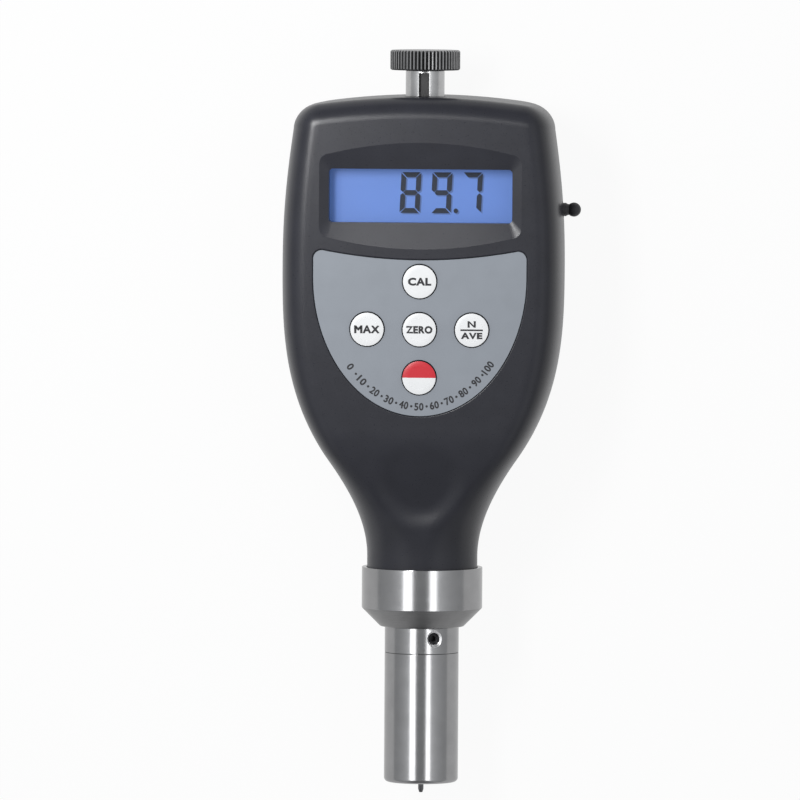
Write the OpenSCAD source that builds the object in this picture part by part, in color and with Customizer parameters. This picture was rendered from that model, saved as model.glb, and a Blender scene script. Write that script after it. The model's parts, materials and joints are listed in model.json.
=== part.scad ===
// Hand-held digital durometer, lying on its back with the display facing up.
// X runs to the right across the display, Y from the presser foot up to the knurled nut,
// and Z out of the display. The origin is on the flat back, below the indenter's axis and
// halfway along the instrument. Lengths are in millimetres.
// Heights named _h are sizes, each from the datum that its comment names. Of the places worked out
// from them, those named _at are heights over the collar's rim and those named _u over the foot's face.

/* [Case] */
// Width of the case at its widest
case_width = 65.2; // [63:0.2:70]
// Height of the case above the collar
case_height = 109.4; // [108:0.2:114]
// Height of the front face above the indenter's axis
case_front = 16.5; // [16:0.1:18]
// Depth of the flat back below the indenter's axis
case_back = 19.5; // [19:0.1:21]
// Diameter of the neck that enters the collar
neck_d = 25.6; // [25:0.1:27]
// Flat left between the rounded edges of the neck
neck_flat = 0.4; // [0.2:0.1:1]
// Height above the collar at which the neck starts to widen
waist_h = 2.5; // [2:0.1:4]
// Height above the collar of the steepest point of the flanks
flank_h = 25; // [24:0.2:27]
// Width of the case at the steepest point of the flanks
flank_width = 43.6; // [42:0.2:46]
// Sideways slope of the flanks at that point
flank_slope = 0.7; // [0.6:0.01:0.8]
// Height above the collar at which the case is widest
widest_h = 70; // [67:0.5:73]
// Width of the case at its shoulders, below the rounded top edge
shoulder_width = 60.4; // [58:0.2:63]
// Inward slope of each side at the shoulders
shoulder_slope = 0.15; // [0.1:0.01:0.2]
// Height of the panel's lowest point above the height from which the front face is flat
front_full_h = 2.8; // [2:0.1:5]
// Height above the collar from which the back is flat
back_full_h = 24; // [22:0.5:26]
// Sideways reach of the rounded long edges
edge_round = 9.5; // [9:0.1:10]
// How square the rounded long edges are, 2 being an ellipse
edge_power = 2.4; // [2.2:0.1:2.6]
// Radius of the rounded top edge
top_round = 5; // [4.5:0.1:5.5]
// Fall of the arched top over half the width of the case
top_arch = 3.2; // [2.4:0.1:3.6]
// Wall of both case halves
wall = 2.2; // [2:0.1:2.5]
// Radius of the thumb dimple on the front
dimple_r = 9.5; // [8.5:0.1:10.5]
// Depth of the thumb dimple
dimple_depth = 1.4; // [1:0.1:1.5]
// Height above the collar of the thumb dimple
dimple_h = 19.5; // [18.5:0.1:20.5]

/* [Display] */
// Width of the window
window_w = 42.4; // [40:0.2:44]
// Height of the window
window_l = 12.4; // [11:0.2:13]
// Corner radius of the window
window_corner = 0.9; // [0.6:0.1:1.5]
// Height of the top of the case above the window's middle
window_h = 22.7; // [21:0.1:25]
// Depth of the bezel that slopes down to the window
bezel_depth = 2.7; // [2.5:0.1:3]
// Distance from the window's sides to the bezel's outer edge
bezel_side = 2.2; // [1.8:0.1:2.4]
// Distance from the window's long edges to the ends of the bezel's outer edge
bezel_end = 3.5; // [3:0.1:3.8]
// Rise of the bezel's arched outer edges
bezel_arch = 2.6; // [2:0.1:3]
// Radius of the bezel's outer corners
bezel_corner = 1.4; // [1:0.1:1.8]
// Thickness of the frame round the window
frame_t = 1.3; // [1.1:0.1:1.6]
// Overlap of the window pane behind its opening
pane_lap = 1.6; // [1.2:0.1:2]
// Thickness of the window pane
pane_t = 1.2; // [1:0.1:1.5]
// Reach of the liquid crystal glass past the sides of the pane
glass_side = 0.5; // [0.2:0.1:1]
// Reach of the liquid crystal glass past the long edges of the pane
glass_end = 1; // [0.6:0.1:1.4]
// Thickness of the liquid crystal glass
glass_t = 2.6; // [2.2:0.1:2.8]
// Width of each conductive rubber strip
strip_w = 2; // [1.6:0.1:2.2]

/* [Keypad] */
// Width of the keypad panel
panel_w = 49.5; // [48:0.2:50]
// Height of the window's middle above the panel's upper corners
panel_top_h = 12.5; // [12:0.1:14]
// Height of the panel's upper corners above its lowest point
panel_low_h = 38.4; // [36:0.1:40]
// Height of the panel's straight sides, above its round lower edge
panel_turn_h = 6.2; // [4:0.1:9]
// Sag of the panel's upper edge
panel_sag = 2.2; // [1.8:0.1:2.6]
// Radius of the panel's upper corners
panel_corner = 2; // [1.5:0.1:2.5]
// Thickness of the panel
panel_t = 0.55; // [0.4:0.05:0.7]
// Diameter of the keys
key_d = 7.8; // [7.4:0.1:8.4]
// Distance between keys across the panel
key_pitch_x = 12.1; // [11.6:0.1:12.6]
// Distance between keys along the panel
key_pitch_y = 11.1; // [10.8:0.1:11.6]
// Height of the panel's upper corners above the middle row of keys
key_row_h = 18.3; // [17:0.1:19.5]
// Height that a key stands above the panel
key_proud = 0.5; // [0.3:0.05:0.8]
// Travel of a key
key_travel = 0.5; // [0.3:0.05:0.7]
// Width of the flange that keeps a key behind the case
key_flange = 0.9; // [0.7:0.1:1.1]
// Diameter of the rod that reaches from a key to its switch
key_rod_d = 3; // [2.6:0.1:3.4]

/* [Circuit board] */
// Thickness of the circuit board
board_t = 1.6; // [1.2:0.1:2]
// Width of the circuit board
board_w = 55.6; // [54:0.2:56.4]
// Height of the board's upper edge above the window's middle
board_top_h = 10.3; // [9:0.1:11.4]
// Height of the lowest key above the board's lowest point
board_low_h = 9.8; // [8:0.1:12]
// Width of a key switch
switch_w = 6; // [5.4:0.1:6.4]
// Height of a key switch's body
switch_t = 3.5; // [3:0.1:4]
// Height of a key switch's plunger
plunger_t = 1.5; // [1.2:0.1:1.8]
// Width of the processor
chip_w = 12; // [10:0.5:14]
// Thickness of the processor
chip_t = 1.6; // [1.2:0.1:2]
// Diameter of the posts that carry the board
standoff_d = 4; // [3.6:0.1:4.2]
// Diameter of the board screws
board_screw_d = 1.9; // [1.7:0.1:2.1]
// Height of the board screws' heads
board_head_t = 1.2; // [1:0.1:1.5]
// Length of the board screws in their posts
board_screw_grip = 5; // [4:0.1:6]
// Height of the board's widest point above the middle row of keys
board_turn_h = 2; // [1:0.1:4]

/* [Data jack] */
// Height of the window's middle above the data jack
jack_h = 3.4; // [2:0.1:6]
// Distance from the jack's axis to the board that carries it
jack_drop = 3.3; // [3:0.1:3.6]
// Length of the jack's body
jack_l = 12; // [11:0.5:13]
// Diameter of the plug's shank
plug_d = 3.1; // [2.8:0.1:3.4]
// Diameter of the plug's waist
plug_waist_d = 2.4; // [2:0.1:2.6]
// Diameter of the plug's ball end
plug_ball_d = 3.3; // [3:0.1:3.8]
// Height that the plug stands out of the case
plug_proud = 4.1; // [3.6:0.1:4.6]
// Length of the plug inside the jack
plug_depth = 8; // [7:0.5:9]

/* [Battery bay] */
// Diameter of a cell
cell_d = 10.5; // [10.3:0.1:10.6]
// Length of a cell with its button
cell_l = 44.5; // [44:0.1:45]
// Length of a cell's button
button_l = 1; // [0.8:0.1:1.2]
// Diameter of a cell's button
button_d = 3.8; // [3.4:0.1:4.2]
// Space at each end of a cell for its leaf contact
contact_l = 2.2; // [1.8:0.1:2.4]
// Thickness of a leaf contact
contact_t = 0.3; // [0.2:0.05:0.4]
// Height of the middle row of keys above the bay's lower end
bay_low_h = 8.4; // [7:0.1:10]
// Wall of the bay
bay_wall = 1.3; // [1:0.1:1.5]
// Space between the cells
cell_gap = 0.3; // [0.2:0.05:0.4]
// Thickness of the shelf over the top end of the cover
shelf_t = 2; // [1.6:0.1:2.4]
// Thickness of the battery cover
cover_t = 2; // [1.8:0.05:2.2]
// Depth of the battery cover below the flat back
cover_sink = 0.3; // [0.2:0.05:0.4]
// Sideways reach of the tongues that hold the cover
tongue = 1; // [0.8:0.1:1.2]
// Thickness of the lips that hold the tongues
cover_lip = 1; // [0.8:0.1:1.1]
// Number of grip grooves in the cover
grip_count = 6; // [4:1:8]
// Distance between the grip grooves
grip_pitch = 2; // [1.8:0.1:2.2]

/* [Case screws] */
// Diameter of the case screws
screw_d = 2.5; // [2.2:0.1:2.8]
// Diameter of their heads
screw_head_d = 4.6; // [4.2:0.1:5]
// Height of their heads
screw_head_t = 1.8; // [1.5:0.1:2.2]
// Depth of the heads' seats below the parting plane
screw_drop = 7; // [6:0.1:8]
// Length of the screws in the front half
screw_grip = 8; // [7:0.1:9]
// Diameter of the bosses that take them
boss_d = 6.8; // [6.4:0.1:7.2]
// Distance between the upper bosses
upper_boss_x = 36; // [34:0.5:37]
// Height of the top of the case above the upper bosses
upper_boss_h = 7.6; // [7:0.1:8.2]
// Distance between the lower bosses
lower_boss_x = 26; // [24:0.5:28]
// Height above the collar of the lower bosses
lower_boss_h = 27; // [26:0.5:28]

/* [Stand post] */
// Diameter of the post
post_d = 9; // [8.6:0.1:9.6]
// Length of the post between the case and the nut
post_l = 5.9; // [5:0.1:7]
// Width of the key slot in the post
slot_w = 2.4; // [2:0.1:2.8]
// Depth of the key slot
slot_depth = 1.3; // [1:0.1:1.6]
// Land between the key slot and the nut
slot_land = 0.5; // [0.3:0.1:0.8]
// Thickness of the flange that keeps the post in the case
post_flange_t = 2.2; // [1.8:0.1:2.4]
// Reach of that flange beyond the post
post_flange = 2; // [1.6:0.1:2.4]
// Length of the post past the rib that holds it
post_tail = 1; // [0.6:0.1:1.6]
// Diameter of the stud that carries the nut
stud_d = 5; // [4.6:0.1:5.4]
// Diameter of the knurled nut
nut_d = 16.2; // [15.6:0.1:17]
// Thickness of the knurled nut
nut_t = 4.7; // [4.4:0.1:5.2]
// Thickness of the nut over the stud
nut_roof = 0.8; // [0.6:0.1:1.2]
// Number of flutes round the nut
flutes = 58; // [48:1:64]
// Depth of the flutes
flute_depth = 0.35; // [0.25:0.05:0.45]
// Chamfer of the nut's edges
nut_chamfer = 0.5; // [0.4:0.1:0.7]

/* [Probe] */
// Diameter of the presser foot
foot_d = 17.2; // [17:0.1:18.4]
// Length of the presser foot
foot_l = 30.2; // [29:0.1:32]
// Radius of the presser foot's lower edge
foot_round = 1; // [0.6:0.1:1.2]
// Thickness of the presser foot's end
foot_end = 3; // [2.6:0.1:3.4]
// Diameter of the hole for the indenter in the presser foot
foot_hole_d = 3; // [2.5:0.1:3.2]
// Wall of the presser foot
foot_wall = 1.75; // [1.6:0.05:2]
// Length of the ring between the foot and the collar
ring_l = 6.1; // [5.6:0.1:6.6]
// Length of the collar's cone
cone_l = 4.3; // [4:0.1:4.8]
// Diameter of the cone's lower end
cone_d = 20.2; // [19.8:0.1:21]
// Chamfer of the cone's lower end
cone_chamfer = 0.4; // [0.2:0.1:0.6]
// Diameter of the collar
collar_d = 28; // [27.8:0.1:29.6]
// Length of the collar's cylinder
collar_l = 9.5; // [9:0.1:10.5]
// Depth of the cup that takes the neck of the case
cup_depth = 7; // [6.8:0.1:7.6]
// Diameter of the probe body's stem in the collar
stem_d = 14; // [13.6:0.1:14.4]
// Bore of the probe body
body_bore = 11; // [10.6:0.1:11.2]
// Length of the probe body's spigot in the foot
spigot_l = 8; // [7:0.1:9]
// Thickness of the nut that holds the collar
collar_nut_t = 3; // [2.6:0.1:3.2]
// Thickness of the nut that the case holds
retainer_t = 2.5; // [2.2:0.1:2.8]
// Thickness of the ribs round that nut
rib_t = 1.5; // [1.2:0.1:1.8]
// Space between the collar's nut and the ribs
rib_rise = 0.3; // [0.2:0.05:0.6]
// Length of the probe body past the ribs
body_tail = 2; // [1.5:0.1:3]
// Diameter of the set screw
set_screw_d = 2.7; // [2.4:0.1:3]
// Distance of the set screw above the foot's joint
set_screw_rise = 3.6; // [3.2:0.1:3.8]
// Depth of the set screw below the ring's surface
set_screw_sink = 1.2; // [0.8:0.1:1.4]
// Angle of the set screw to the right of the front
set_screw_turn = 24; // [15:1:35]

/* [Indenter] */
// Diameter of the indenter
needle_d = 1.27; // [1.15:0.01:1.4]
// Height that the indenter stands out of the foot
needle_proud = 2.5; // [2.3:0.05:2.54]
// Included angle of the indenter's tip
needle_angle = 35; // [30:0.5:40]
// Diameter of the indenter's blunt end
needle_tip_d = 0.79; // [0.7:0.01:0.9]
// Diameter of the spindle
spindle_d = 4; // [3.8:0.1:4.2]
// Thickness of the spindle's shoulder
shoulder_t = 1.5; // [1.2:0.1:1.8]
// Reach of the spindle's shoulder past the main spring
shoulder_lap = 0.2; // [0.1:0.05:0.3]
// Depth of the spindle's end inside the guide bush
spindle_sink = 0.8; // [0.6:0.1:1.2]
// Length of the indenter in the spindle
needle_grip = 5; // [4:0.1:6]
// Length of the guide bush
bush_l = 7; // [6:0.1:8]
// Diameter of the guide bush
bush_d = 9; // [8.6:0.1:9.4]
// Wire of the main spring
wire_d = 1.1; // [1:0.05:1.2]
// Outer diameter of the main spring
spring_d = 8; // [7.8:0.1:8.4]
// Turns of the main spring
spring_turns = 7; // [6:0.5:8]
// Depth of the spring adjuster below the foot's joint
adjuster_drop = 3; // [2.5:0.1:3.5]
// Length of the sensor's core
core_l = 11; // [10:0.5:12]
// Diameter of the sensor's core
core_d = 3.4; // [3:0.1:3.6]
// Height of the core above the coil's lower end
core_rise = 2; // [1:0.1:3]
// Thickness of the coil's flange
coil_flange_t = 2; // [1.6:0.1:2.4]

/* [Clearances] */
// Gap between pieces that lie together
seat_gap = 0.1; // [0.05:0.01:0.15]
// Radial gap of running fits
run_gap = 0.05; // [0.03:0.01:0.08]
// Gap round the keys and the battery cover
slide_gap = 0.2; // [0.15:0.01:0.25]
// Space past the tip of a screw
tip_gap = 0.5; // [0.3:0.1:1]

/* [Hidden] */
$fn = 48;
eps = 0.01;
loft_steps = 26;
turn_steps = 5;
arc_steps = 7;
flat_steps = 6;
cols = 2 * arc_steps + flat_steps + 1;
rows = loft_steps + turn_steps + 2;

probe_l = foot_l + ring_l + cone_l + collar_l;
axis_z = case_back;
front_z = axis_z + case_front;
neck_y = (probe_l + needle_proud - case_height - post_l - nut_t) / 2;
neck_r = neck_d / 2;
neck_low_at = seat_gap - cup_depth;
inner_front_z = front_z - wall;

window_at = case_height - window_h;
panel_top_at = window_at - panel_top_h;
panel_low_at = panel_top_at - panel_low_h;
panel_turn_at = panel_top_at - panel_turn_h;
key_row_at = panel_top_at - key_row_h;
front_full_at = panel_low_at - front_full_h;
jack_at = window_at - jack_h;
upper_boss_at = case_height - upper_boss_h;

waist = [waist_h, neck_r, 0];
flank = [flank_h, flank_width / 2, flank_slope];
widest = [widest_h, case_width / 2, 0];
shoulder = [case_height - top_round, shoulder_width / 2, -shoulder_slope];

frame_z = front_z - bezel_depth - frame_t;
pane_z = frame_z - pane_t;
glass_z = pane_z - seat_gap - glass_t;
board_z = axis_z + jack_drop;
board_front_z = board_z + board_t;
switch_top_z = board_front_z + switch_t + plunger_t;
glass_w = window_w + 2 * (pane_lap + glass_side);
glass_l = window_l + 2 * (pane_lap + glass_end);
panel_z = front_z - panel_t - eps;
keys = [
    [0, key_row_at + key_pitch_y],
    [-key_pitch_x, key_row_at],
    [0, key_row_at],
    [key_pitch_x, key_row_at],
    [0, key_row_at - key_pitch_y]
];
board_top_at = window_at + board_top_h;
board_low_at = key_row_at - key_pitch_y - board_low_h;
board_turn_at = key_row_at + board_turn_h;
standoff_x = glass_w / 2 + standoff_d / 2 + slide_gap;
standoffs = [
    [standoff_x, window_at + glass_l / 2 - standoff_d],
    [-standoff_x, window_at + glass_l / 2 - standoff_d],
    [key_pitch_x + key_d, key_row_at - key_pitch_y / 2],
    [-key_pitch_x - key_d, key_row_at - key_pitch_y / 2]
];
board_screw_l = board_t + board_screw_grip;

cover_top_z = cover_sink + cover_t;
seat_z = cover_top_z + slide_gap;
cell_pitch = cell_d + cell_gap;
cell_z = seat_z + slide_gap + cell_d / 2;
bay_half = 2 * cell_pitch;
bay_l = cell_l + 2 * contact_l;
bay_low_at = key_row_at - bay_low_h;
bay_high_at = bay_low_at + bay_l;
bay_roof_z = cell_z + cell_d / 2 + slide_gap;
cover_half = bay_half + slide_gap;
cover_low_at = bay_low_at - bay_wall;

bosses = [
    [upper_boss_x / 2, upper_boss_at],
    [-upper_boss_x / 2, upper_boss_at],
    [lower_boss_x / 2, lower_boss_h],
    [-lower_boss_x / 2, lower_boss_h]
];
screw_seat_z = axis_z - screw_drop;
screw_l = screw_drop + screw_grip;

stud_l = nut_t - nut_roof;
post_flange_at = case_height - wall - seat_gap - post_flange_t - slide_gap;
post_low_at = post_flange_at - seat_gap - rib_t - post_tail;
nut_at = case_height + post_l;

ring_u = foot_l;
cone_u = ring_u + ring_l;
collar_u = cone_u + cone_l;
neck_u = collar_u + collar_l;
cup_u = neck_u - cup_depth;
rib_low_u = cup_u + collar_nut_t + rib_rise;
retainer_u = rib_low_u + rib_t + seat_gap;
rib_high_u = retainer_u + retainer_t + seat_gap;
body_top_u = rib_high_u + rib_t + body_tail;
bush_u = foot_end;
spindle_flange_u = bush_u + bush_l + run_gap;
spring_u = spindle_flange_u + shoulder_t;
adjuster_u = ring_u - adjuster_drop;
adjuster_top_u = cone_u;
spring_l = adjuster_u - spring_u;
coil_u = adjuster_top_u + seat_gap;
core_u = coil_u + core_rise;
spindle_low_u = bush_u + spindle_sink;
needle_seat_u = spindle_low_u + needle_grip;
nut_corner_d = 2 * (neck_r - wall - slide_gap);

// Cubic curve between two stations [height, value, slope]
function curve(a, b, h) =
    let (d = b[0] - a[0])
    let (t = (h - a[0]) / d)
    (1 + 2 * t) * (1 - t) * (1 - t) * a[1] + t * (1 - t) * (1 - t) * d * a[2]
    + t * t * (3 - 2 * t) * b[1] + t * t * (t - 1) * d * b[2];

// Rises smoothly from 0 at height a to 1 at height b
function rise(a, b, h) =
    let (t = max(0, min(1, (h - a) / (b - a))))
    t * t * (3 - 2 * t);

function half_width(h) =
    h < waist[0] ? neck_r
    : h < flank[0] ? curve(waist, flank, h)
    : h < widest[0] ? curve(flank, widest, h)
    : curve(widest, shoulder, min(h, shoulder[0]));

function depth(h, side) =
    side > 0 ? neck_r + (case_front - neck_r) * rise(waist_h, front_full_at, h)
    : neck_r + (case_back - neck_r) * rise(waist_h, back_full_h, h);

function corner_reach(h) =
    neck_r - neck_flat + (edge_round - neck_r + neck_flat) * rise(waist_h, front_full_at, h);

// Height of the front face at a distance from the middle
function face_z(x, h) =
    let (r = corner_reach(h))
    let (t = max(0, (x - half_width(h) + r) / r))
    axis_z + depth(h, 1) * pow(1 - pow(t, edge_power), 1 / edge_power);

function arch_drop(x, h) =
    top_arch * pow(2 * x / case_width, 2) * rise(widest_h, shoulder[0], h);

// Stations [height, shrink] up the case; the last ones turn round the top edge
function stations(inset, low_h) = concat(
    [for (i = [0:loft_steps]) [low_h + (shoulder[0] - low_h) * i / loft_steps, 0]],
    [for (i = [1:turn_steps])
        let (a = 90 * i / turn_steps)
        shoulder[0] * [1, 0] + (top_round - inset) * [sin(a), 1 - cos(a)]]);

// Half a section of the case, from its right edge over the face to its left edge
function section(station, inset, side) =
    let (h = station[0])
    let (cut = inset + station[1])
    let (w = half_width(h) - cut)
    let (d = depth(h, side) - cut)
    let (r = corner_reach(h) - cut)
    let (e = 2 / (2 + (edge_power - 2) * rise(waist_h, front_full_at, h)))
    let (quarter = [for (j = [0:arc_steps])
        let (a = 90 * j / arc_steps)
        [w - r + r * pow(cos(a), e), d * pow(sin(a), e)]])
    let (flat = [for (j = [1:flat_steps - 1]) [(w - r) * (1 - 2 * j / flat_steps), d]])
    let (other = [for (j = [arc_steps:-1:0]) [-quarter[j][0], quarter[j][1]]])
    [for (p = concat(quarter, flat, other))
        [p[0], neck_y + h - arch_drop(p[0], h), axis_z + side * p[1]]];

// Points of one face of the case: its sections, then the last one dropped to the parting plane
function skin_points(inset, side, low_h) =
    let (sections = [for (s = stations(inset, low_h)) section(s, inset, side)])
    concat([for (s = sections) each s], [for (p = sections[rows - 2]) [p[0], p[1], axis_z]]);

function id(i, j) = (i == rows - 1 && (j == 0 || j == cols - 1) ? i - 1 : i) * cols + j;

function quad(a, b, c, d) = [[a, b, c], [a, c, d]];

function skin_faces() =
    [for (i = [0:rows - 2], j = [0:cols - 2])
        each quad(id(i, j), id(i + 1, j), id(i + 1, j + 1), id(i, j + 1))];

// Leaves out faces without area and turns the rest outwards
function facing(faces, side) =
    [for (f = faces) if (f[0] != f[1] && f[1] != f[2] && f[2] != f[0])
        side > 0 ? [f[2], f[1], f[0]] : f];

// Hollow half of the case, front for side 1 and back for side -1
module case_skin(side) {
    n = rows * cols;
    edge = concat(
        [for (i = [0:rows - 1]) id(i, 0)],
        [for (j = [1:cols - 1]) id(rows - 1, j)],
        [for (i = [rows - 2:-1:0]) id(i, cols - 1)]);
    inside = [for (f = skin_faces()) [n + f[2], n + f[1], n + f[0]]];
    rim = [for (k = [0:len(edge) - 2])
        each quad(edge[k + 1], edge[k], n + edge[k], n + edge[k + 1])];
    mouth = [for (j = [0:cols - 2])
        each quad(id(0, j), id(0, j + 1), n + id(0, j + 1), n + id(0, j))];
    polyhedron(
        points = concat(skin_points(0, side, neck_low_at), skin_points(wall, side, neck_low_at)),
        faces = facing(concat(skin_faces(), inside, rim, mouth), side));
}

// Solid back half of the case from a height upwards, a little inside its outer face
module case_back_core(inset, low_h) {
    last = rows - 1;
    parting = [for (i = [0:rows - 3])
        each quad(id(i + 1, 0), id(i, 0), id(i, cols - 1), id(i + 1, cols - 1))];
    top = [for (j = [1:cols - 2]) [id(last, j + 1), id(last, j), id(last, 0)]];
    low = [for (j = [1:cols - 2]) [id(0, 0), id(0, j), id(0, j + 1)]];
    polyhedron(
        points = skin_points(inset, -1, low_h),
        faces = facing(concat(skin_faces(), parting, top, low), -1));
}

// Places a piece that is drawn up the Z axis on the indenter's axis, at a height over the collar
module on_axis(h) {
    translate([0, neck_y + h, axis_z])
        rotate([-90, 0, 0])
            children();
}

// The same, at a height over the foot's face
module on_probe(u) {
    on_axis(u - probe_l)
        children();
}

module at(x, h, z) {
    translate([x, neck_y + h, z])
        children();
}

module block(x, h, low_z, high_z) {
    at(x[0], h[0], low_z)
        cube([x[1] - x[0], h[1] - h[0], high_z - low_z]);
}

module tube(outer_d, inner_d, length) {
    difference() {
        cylinder(d = outer_d, h = length);
        translate([0, 0, -1])
            cylinder(d = inner_d, h = length + 2);
    }
}

module rounded_slab(w, l, r, t) {
    translate([r - w / 2, -l / 2, 0])
        cube([w - 2 * r, l, t]);
    translate([-w / 2, r - l / 2, 0])
        cube([w, l - 2 * r, t]);
    for (x = [r - w / 2, w / 2 - r], y = [r - l / 2, l / 2 - r])
        translate([x, y, 0])
            cylinder(r = r, h = t);
}

// Outline of the keypad panel: sagging top, straight sides, half an ellipse below
function panel_outline(gap) =
    let (a = panel_w / 2 - gap)
    let (b = panel_turn_at - panel_low_at - gap)
    let (c = panel_corner)
    let (top = panel_top_at - gap)
    let (lower = [for (t = [180:7.5:360]) [a * cos(t), panel_turn_at + b * sin(t)]])
    let (right = [for (t = [0:22.5:90]) [a - c + c * cos(t), top - c + c * sin(t)]])
    let (sag = [for (t = [1:7]) [(a - c) * (1 - t / 4), top - panel_sag * (1 - pow(1 - t / 4, 2))]])
    let (left = [for (t = [90:22.5:180]) [c - a + c * cos(t), top - c + c * sin(t)]])
    concat(lower, right, sag, left);

module panel_slab(gap, t) {
    linear_extrude(t)
        polygon(panel_outline(gap));
}

// Slope from the bezel's arched outer edge down to the window
module bezel_cut() {
    w = window_w / 2 + bezel_side;
    l = window_l / 2 + bezel_end;
    outline = concat(
        [for (t = [-1:0.25:1]) [(w - bezel_corner) * t, l + bezel_arch * (1 - t * t)]],
        [for (t = [1:-0.25:-1]) [(w - bezel_corner) * t, -l - bezel_arch * (1 - t * t)]]);
    at(0, window_at, front_z - bezel_depth)
        hull() {
            translate([-window_w / 2, -window_l / 2, 0])
                cube([window_w, window_l, eps]);
            translate([0, 0, bezel_depth]) {
                linear_extrude(eps)
                    polygon(outline);
                for (x = [bezel_corner - w, w - bezel_corner], y = [bezel_corner - l, l - bezel_corner])
                    translate([x, y, 0])
                        cylinder(r = bezel_corner, h = eps, $fn = 16);
            }
        }
}

// Shallow dish for the thumb, square to the sloping front
module dimple_cut() {
    r = (dimple_r * dimple_r + dimple_depth * dimple_depth) / (2 * dimple_depth);
    tilt = atan(depth(dimple_h + 1, 1) - depth(dimple_h, 1));
    at(0, dimple_h, axis_z + depth(dimple_h, 1))
        rotate([tilt, 0, 0])
            translate([0, 0, r - dimple_depth])
                sphere(r = r, $fn = 96);
}

// Half ring inside the neck, on one side of the parting plane
module half_rib(u, side) {
    on_probe(u)
        rotate([0, 0, side > 0 ? 180 : 0])
            rotate_extrude(angle = 180)
                translate([stem_d / 2 + slide_gap, 0])
                    square([neck_r - wall / 2 - stem_d / 2 - slide_gap, rib_t]);
}

module post_hole() {
    on_axis(post_low_at - 1)
        cylinder(d = post_d + 2 * slide_gap, h = nut_at - post_low_at);
}

module plug_hole() {
    at(0, jack_at, axis_z)
        rotate([0, 90, 0])
            cylinder(d = plug_d + 4 * slide_gap, h = case_width);
}

module front_shell() {
    half_w = window_w / 2 + pane_lap + 1;
    half_l = window_l / 2 + bezel_end + 1;
    color("#3c3d44")
        difference() {
            union() {
                case_skin(1);
                block([-half_w, half_w], [window_at - half_l, window_at + half_l],
                    frame_z, inner_front_z + wall / 2);
                for (b = bosses)
                    at(b[0], b[1], axis_z)
                        cylinder(d = boss_d - 1, h = depth(b[1], 1) - wall / 2);
                for (s = standoffs)
                    at(s[0], s[1], board_front_z)
                        cylinder(d = standoff_d,
                            h = face_z(abs(s[0]) + standoff_d / 2, s[1]) - wall / 4 - board_front_z);
                half_rib(rib_low_u, 1);
                half_rib(rib_high_u, 1);
                block([-post_d, post_d], [post_low_at + post_tail, post_flange_at - seat_gap],
                    axis_z, inner_front_z + wall / 2);
            }
            bezel_cut();
            at(0, window_at, frame_z - 1)
                rounded_slab(window_w, window_l, window_corner, frame_t + 2);
            at(0, 0, panel_z)
                panel_slab(0, panel_t + 1);
            for (k = keys)
                at(k[0], k[1], inner_front_z - 1)
                    cylinder(d = key_d + 2 * slide_gap, h = wall + 2);
            dimple_cut();
            post_hole();
            plug_hole();
            for (b = bosses)
                at(b[0], b[1], axis_z - 1)
                    cylinder(d = screw_d + 2 * run_gap, h = 1 + screw_grip + tip_gap);
            for (s = standoffs)
                at(s[0], s[1], board_front_z - 1)
                    cylinder(d = board_screw_d + 2 * run_gap, h = 1 + board_screw_grip + tip_gap);
        }
}

module back_shell() {
    groove = cover_half + slide_gap + tongue + slide_gap;
    shelf_at = case_height - wall - arch_drop(bay_half + bay_wall, case_height);
    color("#3a3b42")
        difference() {
            union() {
                case_skin(-1);
                block([-bay_half - bay_wall, bay_half + bay_wall],
                    [bay_low_at - bay_wall, bay_high_at + bay_wall], wall / 2, bay_roof_z + bay_wall);
                block([-bay_half - bay_wall, bay_half + bay_wall],
                    [bay_high_at, shelf_at], wall / 2, seat_z + shelf_t);
                for (b = bosses)
                    at(b[0], b[1], wall / 2)
                        cylinder(d = boss_d, h = axis_z - wall / 2);
                half_rib(rib_low_u, -1);
                half_rib(rib_high_u, -1);
                block([-post_d, post_d], [post_low_at + post_tail, post_flange_at - seat_gap],
                    seat_z + shelf_t / 2, axis_z);
            }
            block([-bay_half, bay_half], [bay_low_at, bay_high_at], -1, bay_roof_z);
            block([-cover_half - slide_gap, cover_half + slide_gap],
                [cover_low_at - slide_gap, nut_at], -1, seat_z);
            block([-groove, groove], [cover_low_at - slide_gap, nut_at], cover_lip, seat_z);
            for (b = bosses) {
                at(b[0], b[1], -1)
                    cylinder(d = screw_head_d + 2 * slide_gap, h = screw_seat_z + 1);
                at(b[0], b[1], screw_seat_z - 1)
                    cylinder(d = screw_d + 2 * slide_gap, h = axis_z);
            }
            post_hole();
            plug_hole();
        }
}

module battery_cover() {
    color("#34353b")
        difference() {
            union() {
                intersection() {
                    case_back_core(cover_sink, cover_low_at - 2 * wall);
                    block([-cover_half, cover_half], [cover_low_at, nut_at], -1, cover_top_z);
                }
                block([-cover_half - tongue, cover_half + tongue],
                    [bay_low_at, bay_high_at], cover_lip + slide_gap, cover_top_z);
            }
            for (i = [0:grip_count - 1])
                block([-cover_half / 2, cover_half / 2],
                    [bay_high_at - grip_pitch * (i + 0.5), bay_high_at - grip_pitch * i],
                    -1, cover_sink + cover_t / 4);
        }
}

module keypad_panel() {
    color("#969ca5")
        difference() {
            at(0, 0, panel_z)
                panel_slab(slide_gap / 2, panel_t);
            for (k = keys)
                at(k[0], k[1], panel_z - 1)
                    cylinder(d = key_d + 2 * slide_gap, h = panel_t + 2);
        }
}

module key(i, tint) {
    rod_z = switch_top_z + key_travel + seat_gap;
    flange_z = inner_front_z - seat_gap - key_flange;
    color(tint)
        at(keys[i][0], keys[i][1], 0) {
            translate([0, 0, rod_z])
                cylinder(d = key_rod_d, h = front_z - rod_z - wall);
            translate([0, 0, flange_z])
                cylinder(d = key_d + 2 * slide_gap + 2 * key_flange, h = key_flange);
            translate([0, 0, flange_z])
                cylinder(d = key_d, h = front_z + key_proud - flange_z);
        }
}

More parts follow.
